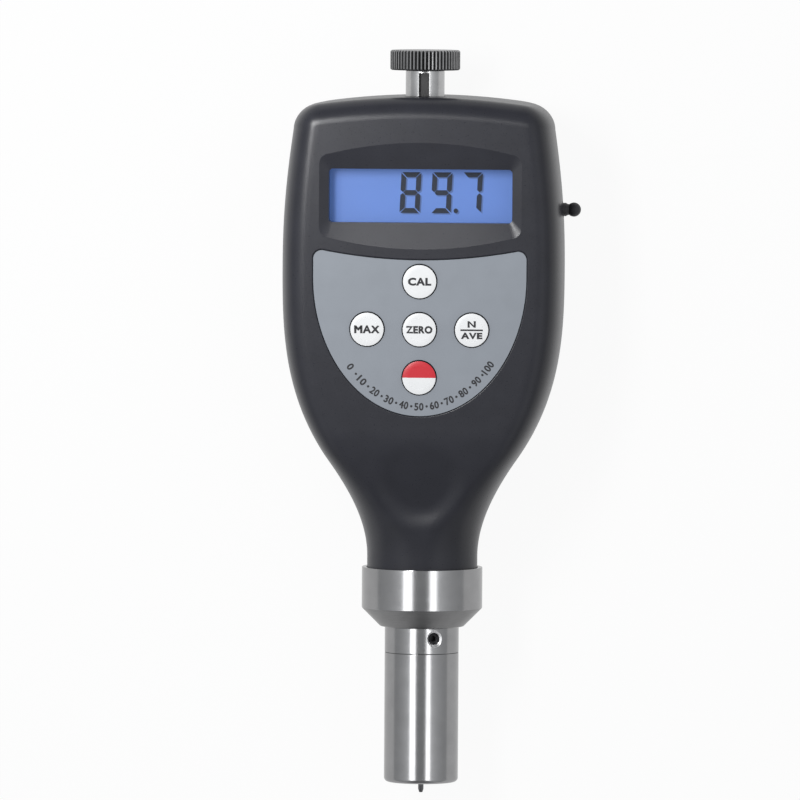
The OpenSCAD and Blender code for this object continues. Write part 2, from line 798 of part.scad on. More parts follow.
module display_pane() {
    color("#dfe8f2", 0.4)
        at(0, window_at, pane_z)
            rounded_slab(window_w + 2 * pane_lap, window_l + 2 * pane_lap, window_corner, pane_t);
}

module lcd_glass() {
    color("#7293d8")
        at(0, window_at, glass_z)
            translate([-glass_w / 2, -glass_l / 2, 0])
                cube([glass_w, glass_l, glass_t]);
}

module lcd_backlight() {
    l = glass_l - 2 * strip_w - 4 * seat_gap;
    color("#f2f4f6")
        at(0, window_at, board_front_z)
            translate([-glass_w / 2, -l / 2, 0])
                cube([glass_w, l, glass_z - seat_gap - board_front_z]);
}

module lcd_strips() {
    color("#d88aa0")
        for (y = [-glass_l / 2, glass_l / 2 - strip_w])
            at(0, window_at + y, board_front_z)
                translate([-glass_w / 2, 0, 0])
                    cube([glass_w, strip_w, glass_z - board_front_z]);
}

module main_board() {
    a = board_w / 2;
    b = board_turn_at - board_low_at;
    outline = concat([[a, board_top_at], [-a, board_top_at]],
        [for (t = [180:9:360]) [a * cos(t), board_turn_at + b * sin(t)]]);
    color("#2e6b3e")
        difference() {
            at(0, 0, board_z)
                linear_extrude(board_t)
                    polygon(outline);
            for (s = standoffs)
                at(s[0], s[1], board_z - 1)
                    cylinder(d = board_screw_d + 2 * slide_gap, h = board_t + 2);
        }
}

module processor() {
    color("#1c1c1e")
        at(0, key_row_at, board_z - chip_t)
            translate([-chip_w / 2, -chip_w / 2, 0])
                cube([chip_w, chip_w, chip_t]);
}

module key_switches() {
    color("#2a2a2c")
        for (k = keys)
            at(k[0], k[1], board_front_z) {
                translate([-switch_w / 2, -switch_w / 2, 0])
                    cube([switch_w, switch_w, switch_t]);
                cylinder(d = key_rod_d, h = switch_t + plunger_t);
            }
}

module board_screws() {
    color("#b9bcc0")
        for (s = standoffs)
            at(s[0], s[1], board_z - board_head_t) {
                cylinder(d = 2 * board_screw_d, h = board_head_t);
                cylinder(d = board_screw_d, h = board_head_t + board_screw_l);
            }
}

module data_jack() {
    face_x = half_width(jack_at) - wall - 2 * slide_gap;
    half = jack_drop - seat_gap;
    color("#1e1e20")
        difference() {
            block([face_x - jack_l, face_x], [jack_at - half, jack_at + half], axis_z - half, board_z);
            at(face_x - plug_depth - 1, jack_at, axis_z)
                rotate([0, 90, 0])
                    cylinder(d = plug_d + 2 * seat_gap, h = plug_depth + 2);
        }
}

module jack_plug() {
    out = half_width(jack_at);
    low = plug_depth + wall + 2 * slide_gap;
    ball_r = plug_ball_d / 2;
    color("#2b2a2f")
        at(out - low, jack_at, axis_z)
            rotate([0, 90, 0]) {
                cylinder(d = plug_d, h = low + plug_proud / 5);
                cylinder(d = plug_waist_d, h = low + plug_proud - ball_r);
                translate([0, 0, low + plug_proud - ball_r])
                    sphere(r = ball_r);
            }
}

module battery(i) {
    flip = i % 2 == 0;
    color(flip ? "#c9a24a" : "#c79f46")
        at((i - 2.5) * cell_pitch, bay_low_at + contact_l + (flip ? cell_l : 0), cell_z)
            rotate([flip ? 90 : -90, 0, 0]) {
                cylinder(d = cell_d, h = cell_l - button_l);
                cylinder(d = button_d, h = cell_l);
            }
}

// Bent leaf that presses on the end of a cell
module leaf() {
    reach = contact_l - seat_gap;
    wide = cell_d * 0.6;
    translate([-wide / 2, seat_gap / 2, 0])
        rotate([90, 0, 90])
            linear_extrude(wide)
                polygon([[0, -wide / 2], [contact_t, -wide / 2], [contact_t, wide / 4],
                    [reach - contact_t, 0], [reach - contact_t, -wide / 4], [reach - seat_gap, -wide / 4],
                    [reach - seat_gap, contact_t], [contact_t, wide / 2], [0, wide / 2]]);
}

module battery_contacts() {
    color("#d0d2d4")
        for (i = [1:4]) {
            at((i - 2.5) * cell_pitch, bay_low_at, cell_z)
                leaf();
            at((i - 2.5) * cell_pitch, bay_high_at, cell_z)
                rotate([0, 0, 180])
                    leaf();
        }
}

module case_screws() {
    color("#8d9095")
        for (b = bosses)
            at(b[0], b[1], screw_seat_z - screw_head_t) {
                cylinder(d = screw_head_d, h = screw_head_t);
                cylinder(d = screw_d, h = screw_head_t + screw_l);
            }
}

module stand_post() {
    color("#9b9b9e")
        difference() {
            union() {
                on_axis(post_low_at)
                    cylinder(d = post_d, h = nut_at - post_low_at);
                on_axis(post_flange_at)
                    cylinder(d = post_d + 2 * post_flange, h = post_flange_t);
                on_axis(nut_at)
                    cylinder(d = stud_d, h = stud_l);
            }
            block([-slot_w / 2, slot_w / 2], [case_height - wall, nut_at - slot_land],
                axis_z + post_d / 2 - slot_depth, axis_z + post_d);
        }
}

module knurled_nut() {
    r = nut_d / 2;
    step = 360 / flutes;
    flute = [for (i = [0:flutes - 1], p = [[-0.2, 0], [0.2, 0], [0.5, flute_depth]])
        let (a = (i + p[0]) * step)
        (r - p[1]) * [cos(a), sin(a)]];
    color("#8d8d90")
        on_axis(nut_at + seat_gap)
            difference() {
                intersection() {
                    linear_extrude(nut_t - seat_gap)
                        polygon(flute);
                    rotate_extrude()
                        polygon([[0, 0], [r - nut_chamfer, 0], [r, nut_chamfer],
                            [r, nut_t - seat_gap - nut_chamfer], [r - nut_chamfer, nut_t - seat_gap],
                            [0, nut_t - seat_gap]]);
                }
                translate([0, 0, -1])
                    cylinder(d = stud_d + 2 * run_gap, h = stud_l + 1);
            }
}

module collar() {
    bore = neck_d / 2 + seat_gap + run_gap;
    r = collar_d / 2;
    color("#9a9a9d")
        on_probe(cone_u)
            rotate_extrude()
                polygon([[stem_d / 2 + run_gap, 0], [cone_d / 2 - cone_chamfer, 0],
                    [cone_d / 2, cone_chamfer], [r, cone_l], [r, cone_l + collar_l], [bore, cone_l + collar_l],
                    [bore, cup_u - cone_u], [stem_d / 2 + run_gap, cup_u - cone_u]]);
}

module probe_body() {
    color("#a3a3a6")
        difference() {
            union() {
                on_probe(ring_u - spigot_l)
                    cylinder(d = foot_d - 2 * foot_wall - 2 * run_gap, h = spigot_l + ring_l);
                on_probe(ring_u + run_gap)
                    cylinder(d = foot_d, h = ring_l - 2 * run_gap);
                on_probe(ring_u)
                    cylinder(d = stem_d, h = body_top_u - ring_u);
            }
            on_probe(ring_u - spigot_l - 1)
                cylinder(d = body_bore, h = body_top_u - ring_u + spigot_l + 2);
            set_screw_bar(set_screw_d + 2 * run_gap, body_bore / 2 - 1, foot_d);
        }
}

// Round bar along the set screw, between two distances from the indenter's axis
module set_screw_bar(d, low, high) {
    on_probe(ring_u + set_screw_rise)
        rotate([0, 0, set_screw_turn])
            rotate([90, 0, 0])
                translate([0, 0, low])
                    cylinder(d = d, h = high - low);
}

module collar_nut() {
    color("#8f8f93")
        on_probe(cup_u)
            difference() {
                cylinder(d = nut_corner_d, h = collar_nut_t, $fn = 6);
                translate([0, 0, -1])
                    cylinder(d = stem_d + 2 * run_gap, h = collar_nut_t + 2);
            }
}

module retaining_nut() {
    color("#8f8f93")
        on_probe(retainer_u)
            difference() {
                cylinder(d = nut_corner_d, h = retainer_t, $fn = 6);
                translate([0, 0, -1])
                    cylinder(d = stem_d + 2 * run_gap, h = retainer_t + 2);
            }
}

module set_screw() {
    color("#4a4a4d")
        set_screw_bar(set_screw_d, body_bore / 2 + run_gap, foot_d / 2 - set_screw_sink);
}

module presser_foot() {
    r = foot_d / 2;
    bore = r - foot_wall;
    arc = [for (a = [270:15:360]) [r - foot_round + foot_round * cos(a), foot_round + foot_round * sin(a)]];
    color("#a0a0a3")
        on_probe(0)
            rotate_extrude()
                polygon(concat([[foot_hole_d / 2, 0]], arc, [[r, foot_l], [bore, foot_l],
                    [bore, foot_end + bush_l], [bush_d / 2 + run_gap, foot_end + bush_l],
                    [bush_d / 2 + run_gap, foot_end], [foot_hole_d / 2, foot_end]]));
}

module guide_bush() {
    color("#b08d4f")
        on_probe(bush_u)
            tube(bush_d, spindle_d + 2 * run_gap, bush_l);
}

module spring_adjuster() {
    color("#b3925a")
        on_probe(adjuster_u)
            tube(body_bore - 2 * run_gap, spindle_d + 2 * run_gap, adjuster_top_u - adjuster_u);
}

// Height of the wire's middle after so many turns; both end turns lie closed
function wire_rise(turn) =
    turn < 1 ? wire_d * turn
    : turn > spring_turns - 1 ? spring_l - wire_d * (1 + spring_turns - turn)
    : wire_d + (spring_l - 3 * wire_d) * (turn - 1) / (spring_turns - 2);

module main_spring() {
    sides = 8;
    steps = spring_turns * 16;
    r = spring_d / 2 - wire_d / 2;
    wire = (wire_d - run_gap) / 2;
    points = [for (i = [0:steps], j = [0:sides - 1])
        let (a = 360 * i / 16)
        let (b = 360 * j / sides)
        [(r + wire * cos(b)) * cos(a), (r + wire * cos(b)) * sin(a),
            wire_d / 2 + wire_rise(i / 16) + wire * sin(b)]];
    last = steps * sides;
    skin = [for (i = [0:steps - 1], j = [0:sides - 1])
        let (k = (j + 1) % sides)
        each quad(i * sides + j, (i + 1) * sides + j, (i + 1) * sides + k, i * sides + k)];
    ends = [for (j = [1:sides - 2]) each [[0, j, j + 1], [last, last + j + 1, last + j]]];
    color("#77787c")
        on_probe(spring_u)
            polyhedron(points, concat(skin, ends));
}

module spindle() {
    color("#bcbcc0")
        difference() {
            union() {
                on_probe(spindle_low_u)
                    cylinder(d = spindle_d, h = core_u - spindle_low_u);
                on_probe(spindle_flange_u)
                    cylinder(d = spring_d + 2 * shoulder_lap, h = shoulder_t);
            }
            on_probe(spindle_low_u - 1)
                cylinder(d = needle_d + 2 * run_gap, h = needle_seat_u - spindle_low_u + 1);
        }
}

module indenter() {
    cone = (needle_d - needle_tip_d) / 2 / tan(needle_angle / 2);
    color("#c8c8cc")
        on_probe(-needle_proud)
            rotate_extrude()
                polygon([[0, 0], [needle_tip_d / 2, 0], [needle_d / 2, cone],
                    [needle_d / 2, needle_seat_u + needle_proud], [0, needle_seat_u + needle_proud]]);
}

module sensor_core() {
    color("#55565a")
        on_probe(core_u)
            cylinder(d = core_d, h = core_l);
}

module sensor_coil() {
    bore = spindle_d + 4 * run_gap;
    color("#a5552f")
        on_probe(coil_u) {
            tube(body_bore - 2 * run_gap, bore, body_top_u - coil_u + 1);
            translate([0, 0, body_top_u - coil_u])
                tube(stem_d, bore, coil_flange_t);
        }
}

front_shell();
back_shell();
battery_cover();
keypad_panel();
key(0, "#e8eaec");  // key_cal
key(1, "#e8eaec");  // key_max
key(2, "#e8eaec");  // key_zero
key(3, "#e8eaec");  // key_average
key(4, "#d7323c");  // key_power
display_pane();
lcd_glass();
lcd_backlight();
lcd_strips();
main_board();
processor();
key_switches();
board_screws();
data_jack();
jack_plug();
for (i = [1:4]) {
    battery(i);
}
battery_contacts();
case_screws();
stand_post();
knurled_nut();
collar();
probe_body();
collar_nut();
retaining_nut();
set_screw();
presser_foot();
guide_bush();
spring_adjuster();
main_spring();
spindle();
indenter();
sensor_core();
sensor_coil();
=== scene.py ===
# %% [markdown]
# # A hand-held hardness gauge
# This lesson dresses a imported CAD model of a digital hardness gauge. The CAD model is the frame:
# it says where every piece is and how it moves. Blender adds what a camera sees, which is
# soft moulded edges, turned metal, printing, light and a camera.

# %% Load the frame
import json
from math import atan2, cos, degrees, pi, radians, sin, sqrt

import bmesh
import bpy
from bmesh.types import BMEdge, BMFace, BMVert
from mathutils import Matrix, Vector


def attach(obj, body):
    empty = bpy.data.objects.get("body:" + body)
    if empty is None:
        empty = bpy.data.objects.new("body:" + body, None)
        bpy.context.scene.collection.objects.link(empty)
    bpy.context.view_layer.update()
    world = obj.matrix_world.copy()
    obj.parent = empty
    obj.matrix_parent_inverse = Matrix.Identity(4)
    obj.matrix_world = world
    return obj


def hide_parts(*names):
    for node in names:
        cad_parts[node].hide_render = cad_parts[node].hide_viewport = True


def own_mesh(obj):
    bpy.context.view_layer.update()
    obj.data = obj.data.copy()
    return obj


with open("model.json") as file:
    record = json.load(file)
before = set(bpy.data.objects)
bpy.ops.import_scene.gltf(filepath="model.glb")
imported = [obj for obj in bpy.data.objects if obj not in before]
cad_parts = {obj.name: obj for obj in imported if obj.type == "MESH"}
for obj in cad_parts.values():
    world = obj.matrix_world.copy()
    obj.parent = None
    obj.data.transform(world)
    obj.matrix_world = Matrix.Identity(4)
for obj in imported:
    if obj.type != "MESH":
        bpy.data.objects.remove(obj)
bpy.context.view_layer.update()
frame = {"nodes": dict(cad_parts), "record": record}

nodes = frame["nodes"]

# %% [markdown]
# ## Working in millimetres
# The frame is in metres, but a maker thinks of this gauge in millimetres. Every mesh is therefore
# modelled in millimetres and shrunk once, when it becomes a piece. One helper does that: it smooths
# the faces, keeps edges over a limit sharp, rides the piece on its CAD body and hides the node that
# it stands for. On the large pieces a Weighted Normal modifier keeps flat faces flat in the light.
# The faces that look straight up or down are marked as strong, and the small ones give way to them.

# %% Turn a bmesh into a piece
MM = 0.001
FACING = 0.99999
SPECK = 1e-9
STRONG = 16384
pieces = []


def as_mesh(bm, name):
    mesh = bpy.data.meshes.new(name)
    bm.to_mesh(mesh)
    bm.free()
    return mesh


def linked(name, data):
    thing = bpy.data.objects.new(name, data)
    bpy.context.scene.collection.objects.link(thing)
    return thing


def weight_normals(piece):
    strength = piece.data.attributes.new("__mod_weightednormals_faceweight", "INT", "FACE")
    strength.data.foreach_set("value", [STRONG if f.area > SPECK and abs(f.normal.z) > FACING else 0
                                        for f in piece.data.polygons])
    normals = piece.modifiers.new("face weighted normals", "WEIGHTED_NORMAL")
    normals.keep_sharp, normals.use_face_influence = True, True


def place(name, bm, body, looks, stands_for=(), sharp=35, weighted=False):
    bmesh.ops.scale(bm, vec=Vector((MM, MM, MM)), verts=bm.verts)
    mesh = as_mesh(bm, name)
    mesh.shade_smooth()
    mesh.set_sharp_from_angle(angle=radians(sharp))
    for look in looks:
        mesh.materials.append(finish[look])
    piece = linked(name, mesh)
    if weighted:
        weight_normals(piece)
    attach(piece, body)
    if stands_for:
        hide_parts(*stands_for)
    pieces.append(piece)
    print(f"{name}: {len(mesh.polygons)} faces on body {body}")
    return piece


# %% [markdown]
# ## Finishes
# A real surface is never one flat colour. Moulded plastic has a spark-eroded grain, turned steel has
# fine rings from the tool, film has a printed tooth. Each could have nodes of its own, but all of
# them are noise at the right size, so one builder makes them. It reads Object coordinates, so the
# grain stays put when a piece moves. A coarse noise clouds the colour, and a fine one drives both
# roughness and bump. Stretching the coordinates turns the grain into tool marks.

# %% A builder for grained finishes
NOISE_LOW, NOISE_HIGH = 0.3, 0.7


def add_node(tree, kind, **values):
    node = tree.nodes.new(kind)
    for key, value in values.items():
        if key in node.inputs:
            node.inputs[key].default_value = value
        else:
            setattr(node, key, value)
    return node


def noise(tree, size_mm, stretch=(1, 1, 1), detail=3.0):
    coordinates = add_node(tree, "ShaderNodeTexCoord")
    mapping = add_node(tree, "ShaderNodeMapping", Scale=stretch)
    texture = add_node(tree, "ShaderNodeTexNoise", Scale=1 / (size_mm * MM), Detail=detail)
    tree.links.new(coordinates.outputs["Object"], mapping.inputs["Vector"])
    tree.links.new(mapping.outputs["Vector"], texture.inputs["Vector"])
    return texture.outputs[0]


def spread(tree, value, low, high, start=NOISE_LOW, end=NOISE_HIGH):
    ramp = add_node(tree, "ShaderNodeMapRange",
                    **{"From Min": start, "From Max": end, "To Min": low, "To Max": high})
    tree.links.new(value, ramp.inputs["Value"])
    return ramp.outputs["Result"]


def tinted(tree, value, dark, light):
    ramp = add_node(tree, "ShaderNodeValToRGB")
    stops = ramp.color_ramp.elements
    stops[0].position, stops[0].color = NOISE_LOW, (*dark, 1)
    stops[1].position, stops[1].color = NOISE_HIGH, (*light, 1)
    tree.links.new(value, ramp.inputs["Fac"])
    return ramp.outputs["Color"]


def grained(name, colour, rough, cloud_mm=6.0, cloud=0.08, grain_mm=0.3, bump=0.3, depth_mm=0.02,
            stretch=(1, 1, 1), **sockets):
    material = bpy.data.materials.new(name)
    material.use_nodes = True
    tree = material.node_tree
    shader = tree.nodes["Principled BSDF"]
    for key, value in sockets.items():
        shader.inputs[key.replace("_", " ")].default_value = value
    dark = [c * (1 - cloud) for c in colour]
    light = [min(1.0, c * (1 + cloud)) for c in colour]
    shade = tinted(tree, noise(tree, cloud_mm), dark, light)
    tree.links.new(shade, shader.inputs["Base Color"])
    fine = noise(tree, grain_mm, stretch)
    tree.links.new(spread(tree, fine, *rough), shader.inputs["Roughness"])
    bumped = add_node(tree, "ShaderNodeBump", Strength=bump, Distance=depth_mm * MM)
    tree.links.new(fine, bumped.inputs["Height"])
    tree.links.new(bumped.outputs["Normal"], shader.inputs["Normal"])
    material.diffuse_color = (*colour, 1)
    return material


# %% [markdown]
# ## The finishes of this gauge
# The case is a dark blue-grey plastic with a fine grain. The turned parts are steel: a grain that is
# squeezed sixtyfold along the axis gives the rings that a lathe leaves. Inside are the finishes of a
# circuit board, dry cells, brass and copper, which show when the battery cover is off. A table of
# recipes, each with its colour and its span of roughness, is easier to read than thirty node trees.

# %% Make the finishes
RINGS, WINDINGS = (1, 60, 1), (1, 80, 1)
RECIPES = {
    "case_plastic": dict(colour=(0.021, 0.0217, 0.028), rough=(0.27, 0.35), grain_mm=0.28, IOR=1.4),
    "panel_grey": dict(colour=(0.284, 0.310, 0.349), rough=(0.42, 0.55), cloud=0.03, grain_mm=0.16,
                       bump=0.2, depth_mm=0.012),
    "key_white": dict(colour=(0.90, 0.91, 0.92), rough=(0.28, 0.38), cloud=0.02, grain_mm=0.4,
                      bump=0.08, depth_mm=0.01),
    "key_red": dict(colour=(0.66, 0.03, 0.045), rough=(0.28, 0.38), cloud=0.03, grain_mm=0.4,
                    bump=0.08, depth_mm=0.01),
    # Also paints the keys' outer edges black, as painted shade for the gaps round them.
    "print_and_shade_black": dict(colour=(0.022, 0.022, 0.026), rough=(0.45, 0.6), grain_mm=0.2, bump=0.1,
                        depth_mm=0.005),
    "lcd_blue": dict(colour=(0.16, 0.295, 0.75), rough=(0.3, 0.4), cloud_mm=9.0, cloud=0.03,
                     grain_mm=0.25, bump=0.05, depth_mm=0.005,
                     Emission_Color=(0.15, 0.275, 0.70, 1), Emission_Strength=0.27),
    "lcd_segment": dict(colour=(0.022, 0.03, 0.05), rough=(0.3, 0.4), bump=0.05, depth_mm=0.004),
    "lcd_shadow": dict(colour=(0.13, 0.225, 0.54), rough=(0.3, 0.4), bump=0.05, depth_mm=0.004),
    "pane_clear": dict(colour=(0.03, 0.05, 0.10), rough=(0.04, 0.08), cloud=0.1, grain_mm=3.0,
                       bump=0.02, depth_mm=0.004, Alpha=0.08),
    "diffuser_white": dict(colour=(0.85, 0.87, 0.9), rough=(0.5, 0.6), grain_mm=0.2),
    "strip_rubber": dict(colour=(0.6, 0.25, 0.32), rough=(0.6, 0.75)),
    "board_green": dict(colour=(0.03, 0.15, 0.06), rough=(0.25, 0.4), cloud_mm=2.0, cloud=0.2,
                        grain_mm=0.5),
    "chip_black": dict(colour=(0.012, 0.012, 0.013), rough=(0.5, 0.65), grain_mm=0.12),
    "screw_steel": dict(colour=(0.42, 0.43, 0.45), rough=(0.25, 0.4), Metallic=1.0),
    "plug_rubber": dict(colour=(0.03, 0.029, 0.034), rough=(0.42, 0.55), bump=0.15),
    "cell_jacket": dict(colour=(0.5, 0.34, 0.08), rough=(0.25, 0.35), grain_mm=0.6, bump=0.05,
                        Metallic=0.6),
    "contact_metal": dict(colour=(0.6, 0.61, 0.62), rough=(0.2, 0.32), Metallic=1.0),
    "turned_steel": dict(colour=(0.34, 0.34, 0.345), rough=(0.15, 0.21), cloud_mm=4.0, cloud=0.05,
                         grain_mm=9.0, stretch=RINGS, bump=0.04, Metallic=1.0),
    "knurled_steel": dict(colour=(0.40, 0.40, 0.405), rough=(0.38, 0.48), cloud_mm=2.0, cloud=0.1,
                          bump=0.05, Metallic=1.0),
    # Very dark: painted shade for the floor of the post's slot.
    "milled_steel_painted_shade": dict(colour=(0.045, 0.045, 0.046), rough=(0.40, 0.52), grain_mm=0.25,
                         Metallic=1.0),
    # Darker than the turned steel: painted shade on the collar's downward cone.
    "coned_steel_painted_shade": dict(colour=(0.21, 0.21, 0.213), rough=(0.26, 0.36), cloud_mm=4.0, grain_mm=5.0,
                        stretch=RINGS, bump=0.1, Metallic=1.0),
    # Pale: a painted highlight inside the set screw's hole.
    "drilled_steel_painted_highlight": dict(colour=(0.9, 0.9, 0.91), rough=(0.32, 0.42), bump=0.2, Metallic=1.0),
    "post_steel": dict(colour=(0.52, 0.52, 0.525), rough=(0.18, 0.26), cloud_mm=3.0, cloud=0.06,
                       grain_mm=5.0, stretch=RINGS, bump=0.06, Metallic=1.0),
    # Dark: painted shade between the knurl's flutes.
    "knurl_groove_painted_shade": dict(colour=(0.075, 0.075, 0.076), rough=(0.45, 0.6), grain_mm=0.2, bump=0.2,
                         Metallic=1.0),
    "screw_black": dict(colour=(0.03, 0.03, 0.032), rough=(0.35, 0.5), grain_mm=0.2, Metallic=0.8),
    "bush_brass": dict(colour=(0.45, 0.3, 0.1), rough=(0.2, 0.3), grain_mm=6.0, stretch=RINGS,
                       Metallic=1.0),
    "spring_steel": dict(colour=(0.3, 0.3, 0.32), rough=(0.25, 0.35), grain_mm=0.4, Metallic=1.0),
    "indenter_steel": dict(colour=(0.14, 0.14, 0.145), rough=(0.16, 0.24), grain_mm=4.0,
                           stretch=RINGS, bump=0.05, Metallic=1.0),
    "core_iron": dict(colour=(0.1, 0.1, 0.11), rough=(0.5, 0.65), grain_mm=0.2, Metallic=1.0),
    "coil_copper": dict(colour=(0.45, 0.16, 0.06), rough=(0.25, 0.4), grain_mm=12.0,
                        stretch=WINDINGS, bump=0.4, depth_mm=0.05, Metallic=1.0),
}
finish = {name: grained(name, **recipe) for name, recipe in RECIPES.items()}
print("finishes:", len(finish))

# %% [markdown]
# ## The bezel's shadow on the display
# The glass is darker over the last few millimetres at its left end, where the bezel's wall shades it.
# This is painted shade: a darker tint is multiplied into the colour along the X of the Object
# coordinates, so it stays on the display whatever the light outside.

# %% Paint the bezel's shadow on the display's left end
DISPLAY_END, BEZEL_SHADOW_WIDTH = -21.2, 3.0
BEZEL_SHADOW_TINT = (0.45, 0.60, 0.76)


def paint_bezel_shadow(material, shadow_tint):
    tree = material.node_tree
    shader = tree.nodes["Principled BSDF"]
    shade = shader.inputs["Base Color"].links[0].from_socket
    axes = add_node(tree, "ShaderNodeSeparateXYZ")
    coordinates = add_node(tree, "ShaderNodeTexCoord")
    tree.links.new(coordinates.outputs["Object"], axes.inputs["Vector"])
    reach = spread(tree, axes.outputs["X"], 1.0, 0.0,
                   DISPLAY_END * MM, (DISPLAY_END + BEZEL_SHADOW_WIDTH) * MM)
    mix = add_node(tree, "ShaderNodeMix", data_type="RGBA", blend_type="MULTIPLY")
    tree.links.new(reach, mix.inputs["Factor"])
    tree.links.new(shade, mix.inputs[6])
    mix.inputs[7].default_value = (*shadow_tint, 1)
    tree.links.new(mix.outputs[2], shader.inputs["Base Color"])


# The darker left end is painted shade, the bezel's shadow multiplied into the display's colour.
paint_bezel_shadow(finish["lcd_blue"], BEZEL_SHADOW_TINT)
print("backlight fades over", BEZEL_SHADOW_WIDTH, "mm")

# %% [markdown]
# ## The form of the case
# The case is a waisted body: round at the neck, where the steel collar grips it, and a flat-faced
# slab with rounded edges at the display. It could be sculpted, but a lofted body like this is known
# by a few curves along its height: half the width, the depth of each face, and the reach and
# squareness of the rounded edges. The functions below are those curves. They follow the CAD model,
# with front edges that are up to a millimetre squarer, as the light on the real ones shows.

# %% Curves of the case, with heights over the collar's rim
FRONT, BACK = 1, -1
AXIS_Z, NECK_Y, FRONT_Z = 19.5, -33.7, 36.0
WAIST_H, WIDEST_H, SHOULDER_H = 2.5, 70, 104.4
NECK_R, NECK_EDGE = 12.8, 12.4
TOP_ROUND, TOP_SAG, TOP_WIDTH, WALL = 5.0, 3.2, 65.2, 2.2
OUTLINE = [(WAIST_H, NECK_R, 0), (25, 21.8, 0.7), (WIDEST_H, 32.6, 0), (SHOULDER_H, 30.2, -0.15)]
DEEPER = {FRONT: (3.7, 33), BACK: (6.7, 24)}
EDGES = {FRONT: (5.4, 1.0, 28), BACK: (2.9, 0.4, 33)}


def rise(a, b, h):
    t = min(1.0, max(0.0, (h - a) / (b - a)))
    return t * t * (3 - 2 * t)


def between(a, b, h):
    d = b[0] - a[0]
    t = (h - a[0]) / d
    return ((1 + 2 * t) * (1 - t) ** 2 * a[1] + t * (1 - t) ** 2 * d * a[2]
            + t * t * (3 - 2 * t) * b[1] + t * t * (t - 1) * d * b[2])


def half_width(h):
    h = min(max(h, WAIST_H), SHOULDER_H)
    for low, high in zip(OUTLINE, OUTLINE[1:]):
        if h < high[0]:
            break
    return between(low, high, h)


def depth(h, side):
    gain, full_h = DEEPER[side]
    return NECK_R + gain * rise(WAIST_H, full_h, h)


def case_point(h, shrink, across, side, inset):
    w = half_width(h) - shrink - inset
    d = depth(h, side) - shrink - inset
    tighter, squarer, full_h = EDGES[side]
    grown = rise(WAIST_H, full_h, h)
    r = NECK_EDGE - tighter * grown - (shrink + inset)
    power = 2 / (2 + squarer * grown)
    flat, angle = across
    x = flat * (w - r)
    if abs(flat) == 1:
        x += flat * r * cos(angle) ** power
    fall = TOP_SAG * (2 * x / TOP_WIDTH) ** 2 * rise(WIDEST_H, SHOULDER_H, h)
    return Vector((x, NECK_Y + h - fall, AXIS_Z + side * d * sin(angle) ** power))


print("half widths:", [round(half_width(h), 2) for h in (0, 25, 50, 70, 104)])

# %% [markdown]
# ## Wrapping a sheet round the case
# Each half of the case starts as a flat grid. Its rows become heights up the case and its columns
# run over the face from one edge to the other, so moving every grid point to its place on the curves
# wraps the sheet round the form. The rows lie closer where the thumb dimple needs them. The last row
# is dropped to the parting plane and makes the flat top end.

# %% Rows, columns and the wrapped sheet
STOPS = [(-6.9, 0), (WAIST_H, 5), (8, 8), (31, 46), (SHOULDER_H, 44)]
EDGE_STEPS, HALF_FACE_STEPS, QUARTER = 26, 15, radians(90)
ARC = [QUARTER * i / EDGE_STEPS for i in range(EDGE_STEPS)]
FLAT = [1 - i / HALF_FACE_STEPS for i in range(2 * HALF_FACE_STEPS + 1)]
COLUMNS = ([(1, a) for a in ARC] + [(f, QUARTER) for f in FLAT] + [(-1, a) for a in reversed(ARC)])


def stations(inset):
    heights = [STOPS[0][0]]
    for (a, _), (b, count) in zip(STOPS, STOPS[1:]):
        heights += [a + (b - a) * i / count for i in range(1, count + 1)]
    turn = [radians(9 * i) for i in range(1, 11)]
    reach = TOP_ROUND - inset
    return ([(h, 0.0) for h in heights]
            + [(SHOULDER_H + reach * sin(a), reach * (1 - cos(a))) for a in turn])


def wrapped(side, inset=0.0):
    rows = stations(inset)
    bm = bmesh.new()
    bmesh.ops.create_grid(bm, x_segments=len(COLUMNS) - 1, y_segments=len(rows), size=0.5)
    for vert in bm.verts:
        across = COLUMNS[round((vert.co.x + 0.5) * (len(COLUMNS) - 1))]
        row = round((vert.co.y + 0.5) * len(rows))
        point = case_point(*rows[min(row, len(rows) - 1)], across, side, inset)
        if row == len(rows):
            point.z = AXIS_Z
        vert.co = point
    bmesh.ops.remove_doubles(bm, verts=bm.verts, dist=0.001)
    bmesh.ops.recalc_face_normals(bm, faces=bm.faces)
    face_on = Vector((0, 20, AXIS_Z + side * 20))
    middle = min(bm.faces, key=lambda f: (f.calc_center_median() - face_on).length)
    if middle.normal.z * side < 0:
        bmesh.ops.reverse_faces(bm, faces=bm.faces)
    return bm


print("rows and columns of a sheet:", len(stations(0.0)), len(COLUMNS))

# %% [markdown]
# ## Rods and bars
# The pins, bosses and openings of a moulding are plain rods and bars. A cone with two equal ends is
# a rod and a scaled cube is a bar, so Blender's own shapes do, stood where they are wanted. Several
# are joined into one bmesh, so that one cut makes them all.

# %% Plain shapes
UP, ALONG, ACROSS = (0, 0, 1), (0, 1, 0), (1, 0, 0)


def stood(at, axis):
    turn = Vector(UP).rotation_difference(Vector(axis)).to_matrix().to_4x4()
    return Matrix.Translation(at) @ turn


def rod(centre, axis, r, length, sides=64):
    bm = bmesh.new()
    bmesh.ops.create_cone(bm, cap_ends=True, segments=sides, radius1=r, radius2=r, depth=length,
                          matrix=stood(centre, axis))
    return bm


def bar(x, y, z):
    bm = bmesh.new()
    low, high = Vector((x[0], y[0], z[0])), Vector((x[1], y[1], z[1]))
    middle = Matrix.LocRotScale((low + high) / 2, None, high - low)
    bmesh.ops.create_cube(bm, size=1, matrix=middle)
    return bm


def together(*parts):
    whole = bmesh.new()
    for part in parts:
        mesh = as_mesh(part, "part")
        whole.from_mesh(mesh)
        bpy.data.meshes.remove(mesh)
    return whole


def rods(places, z, r, length, sides=64):
    return together(*[rod((x, y, z), UP, r, length, sides) for x, y in places])


print("directions:", UP, ALONG, ACROSS)

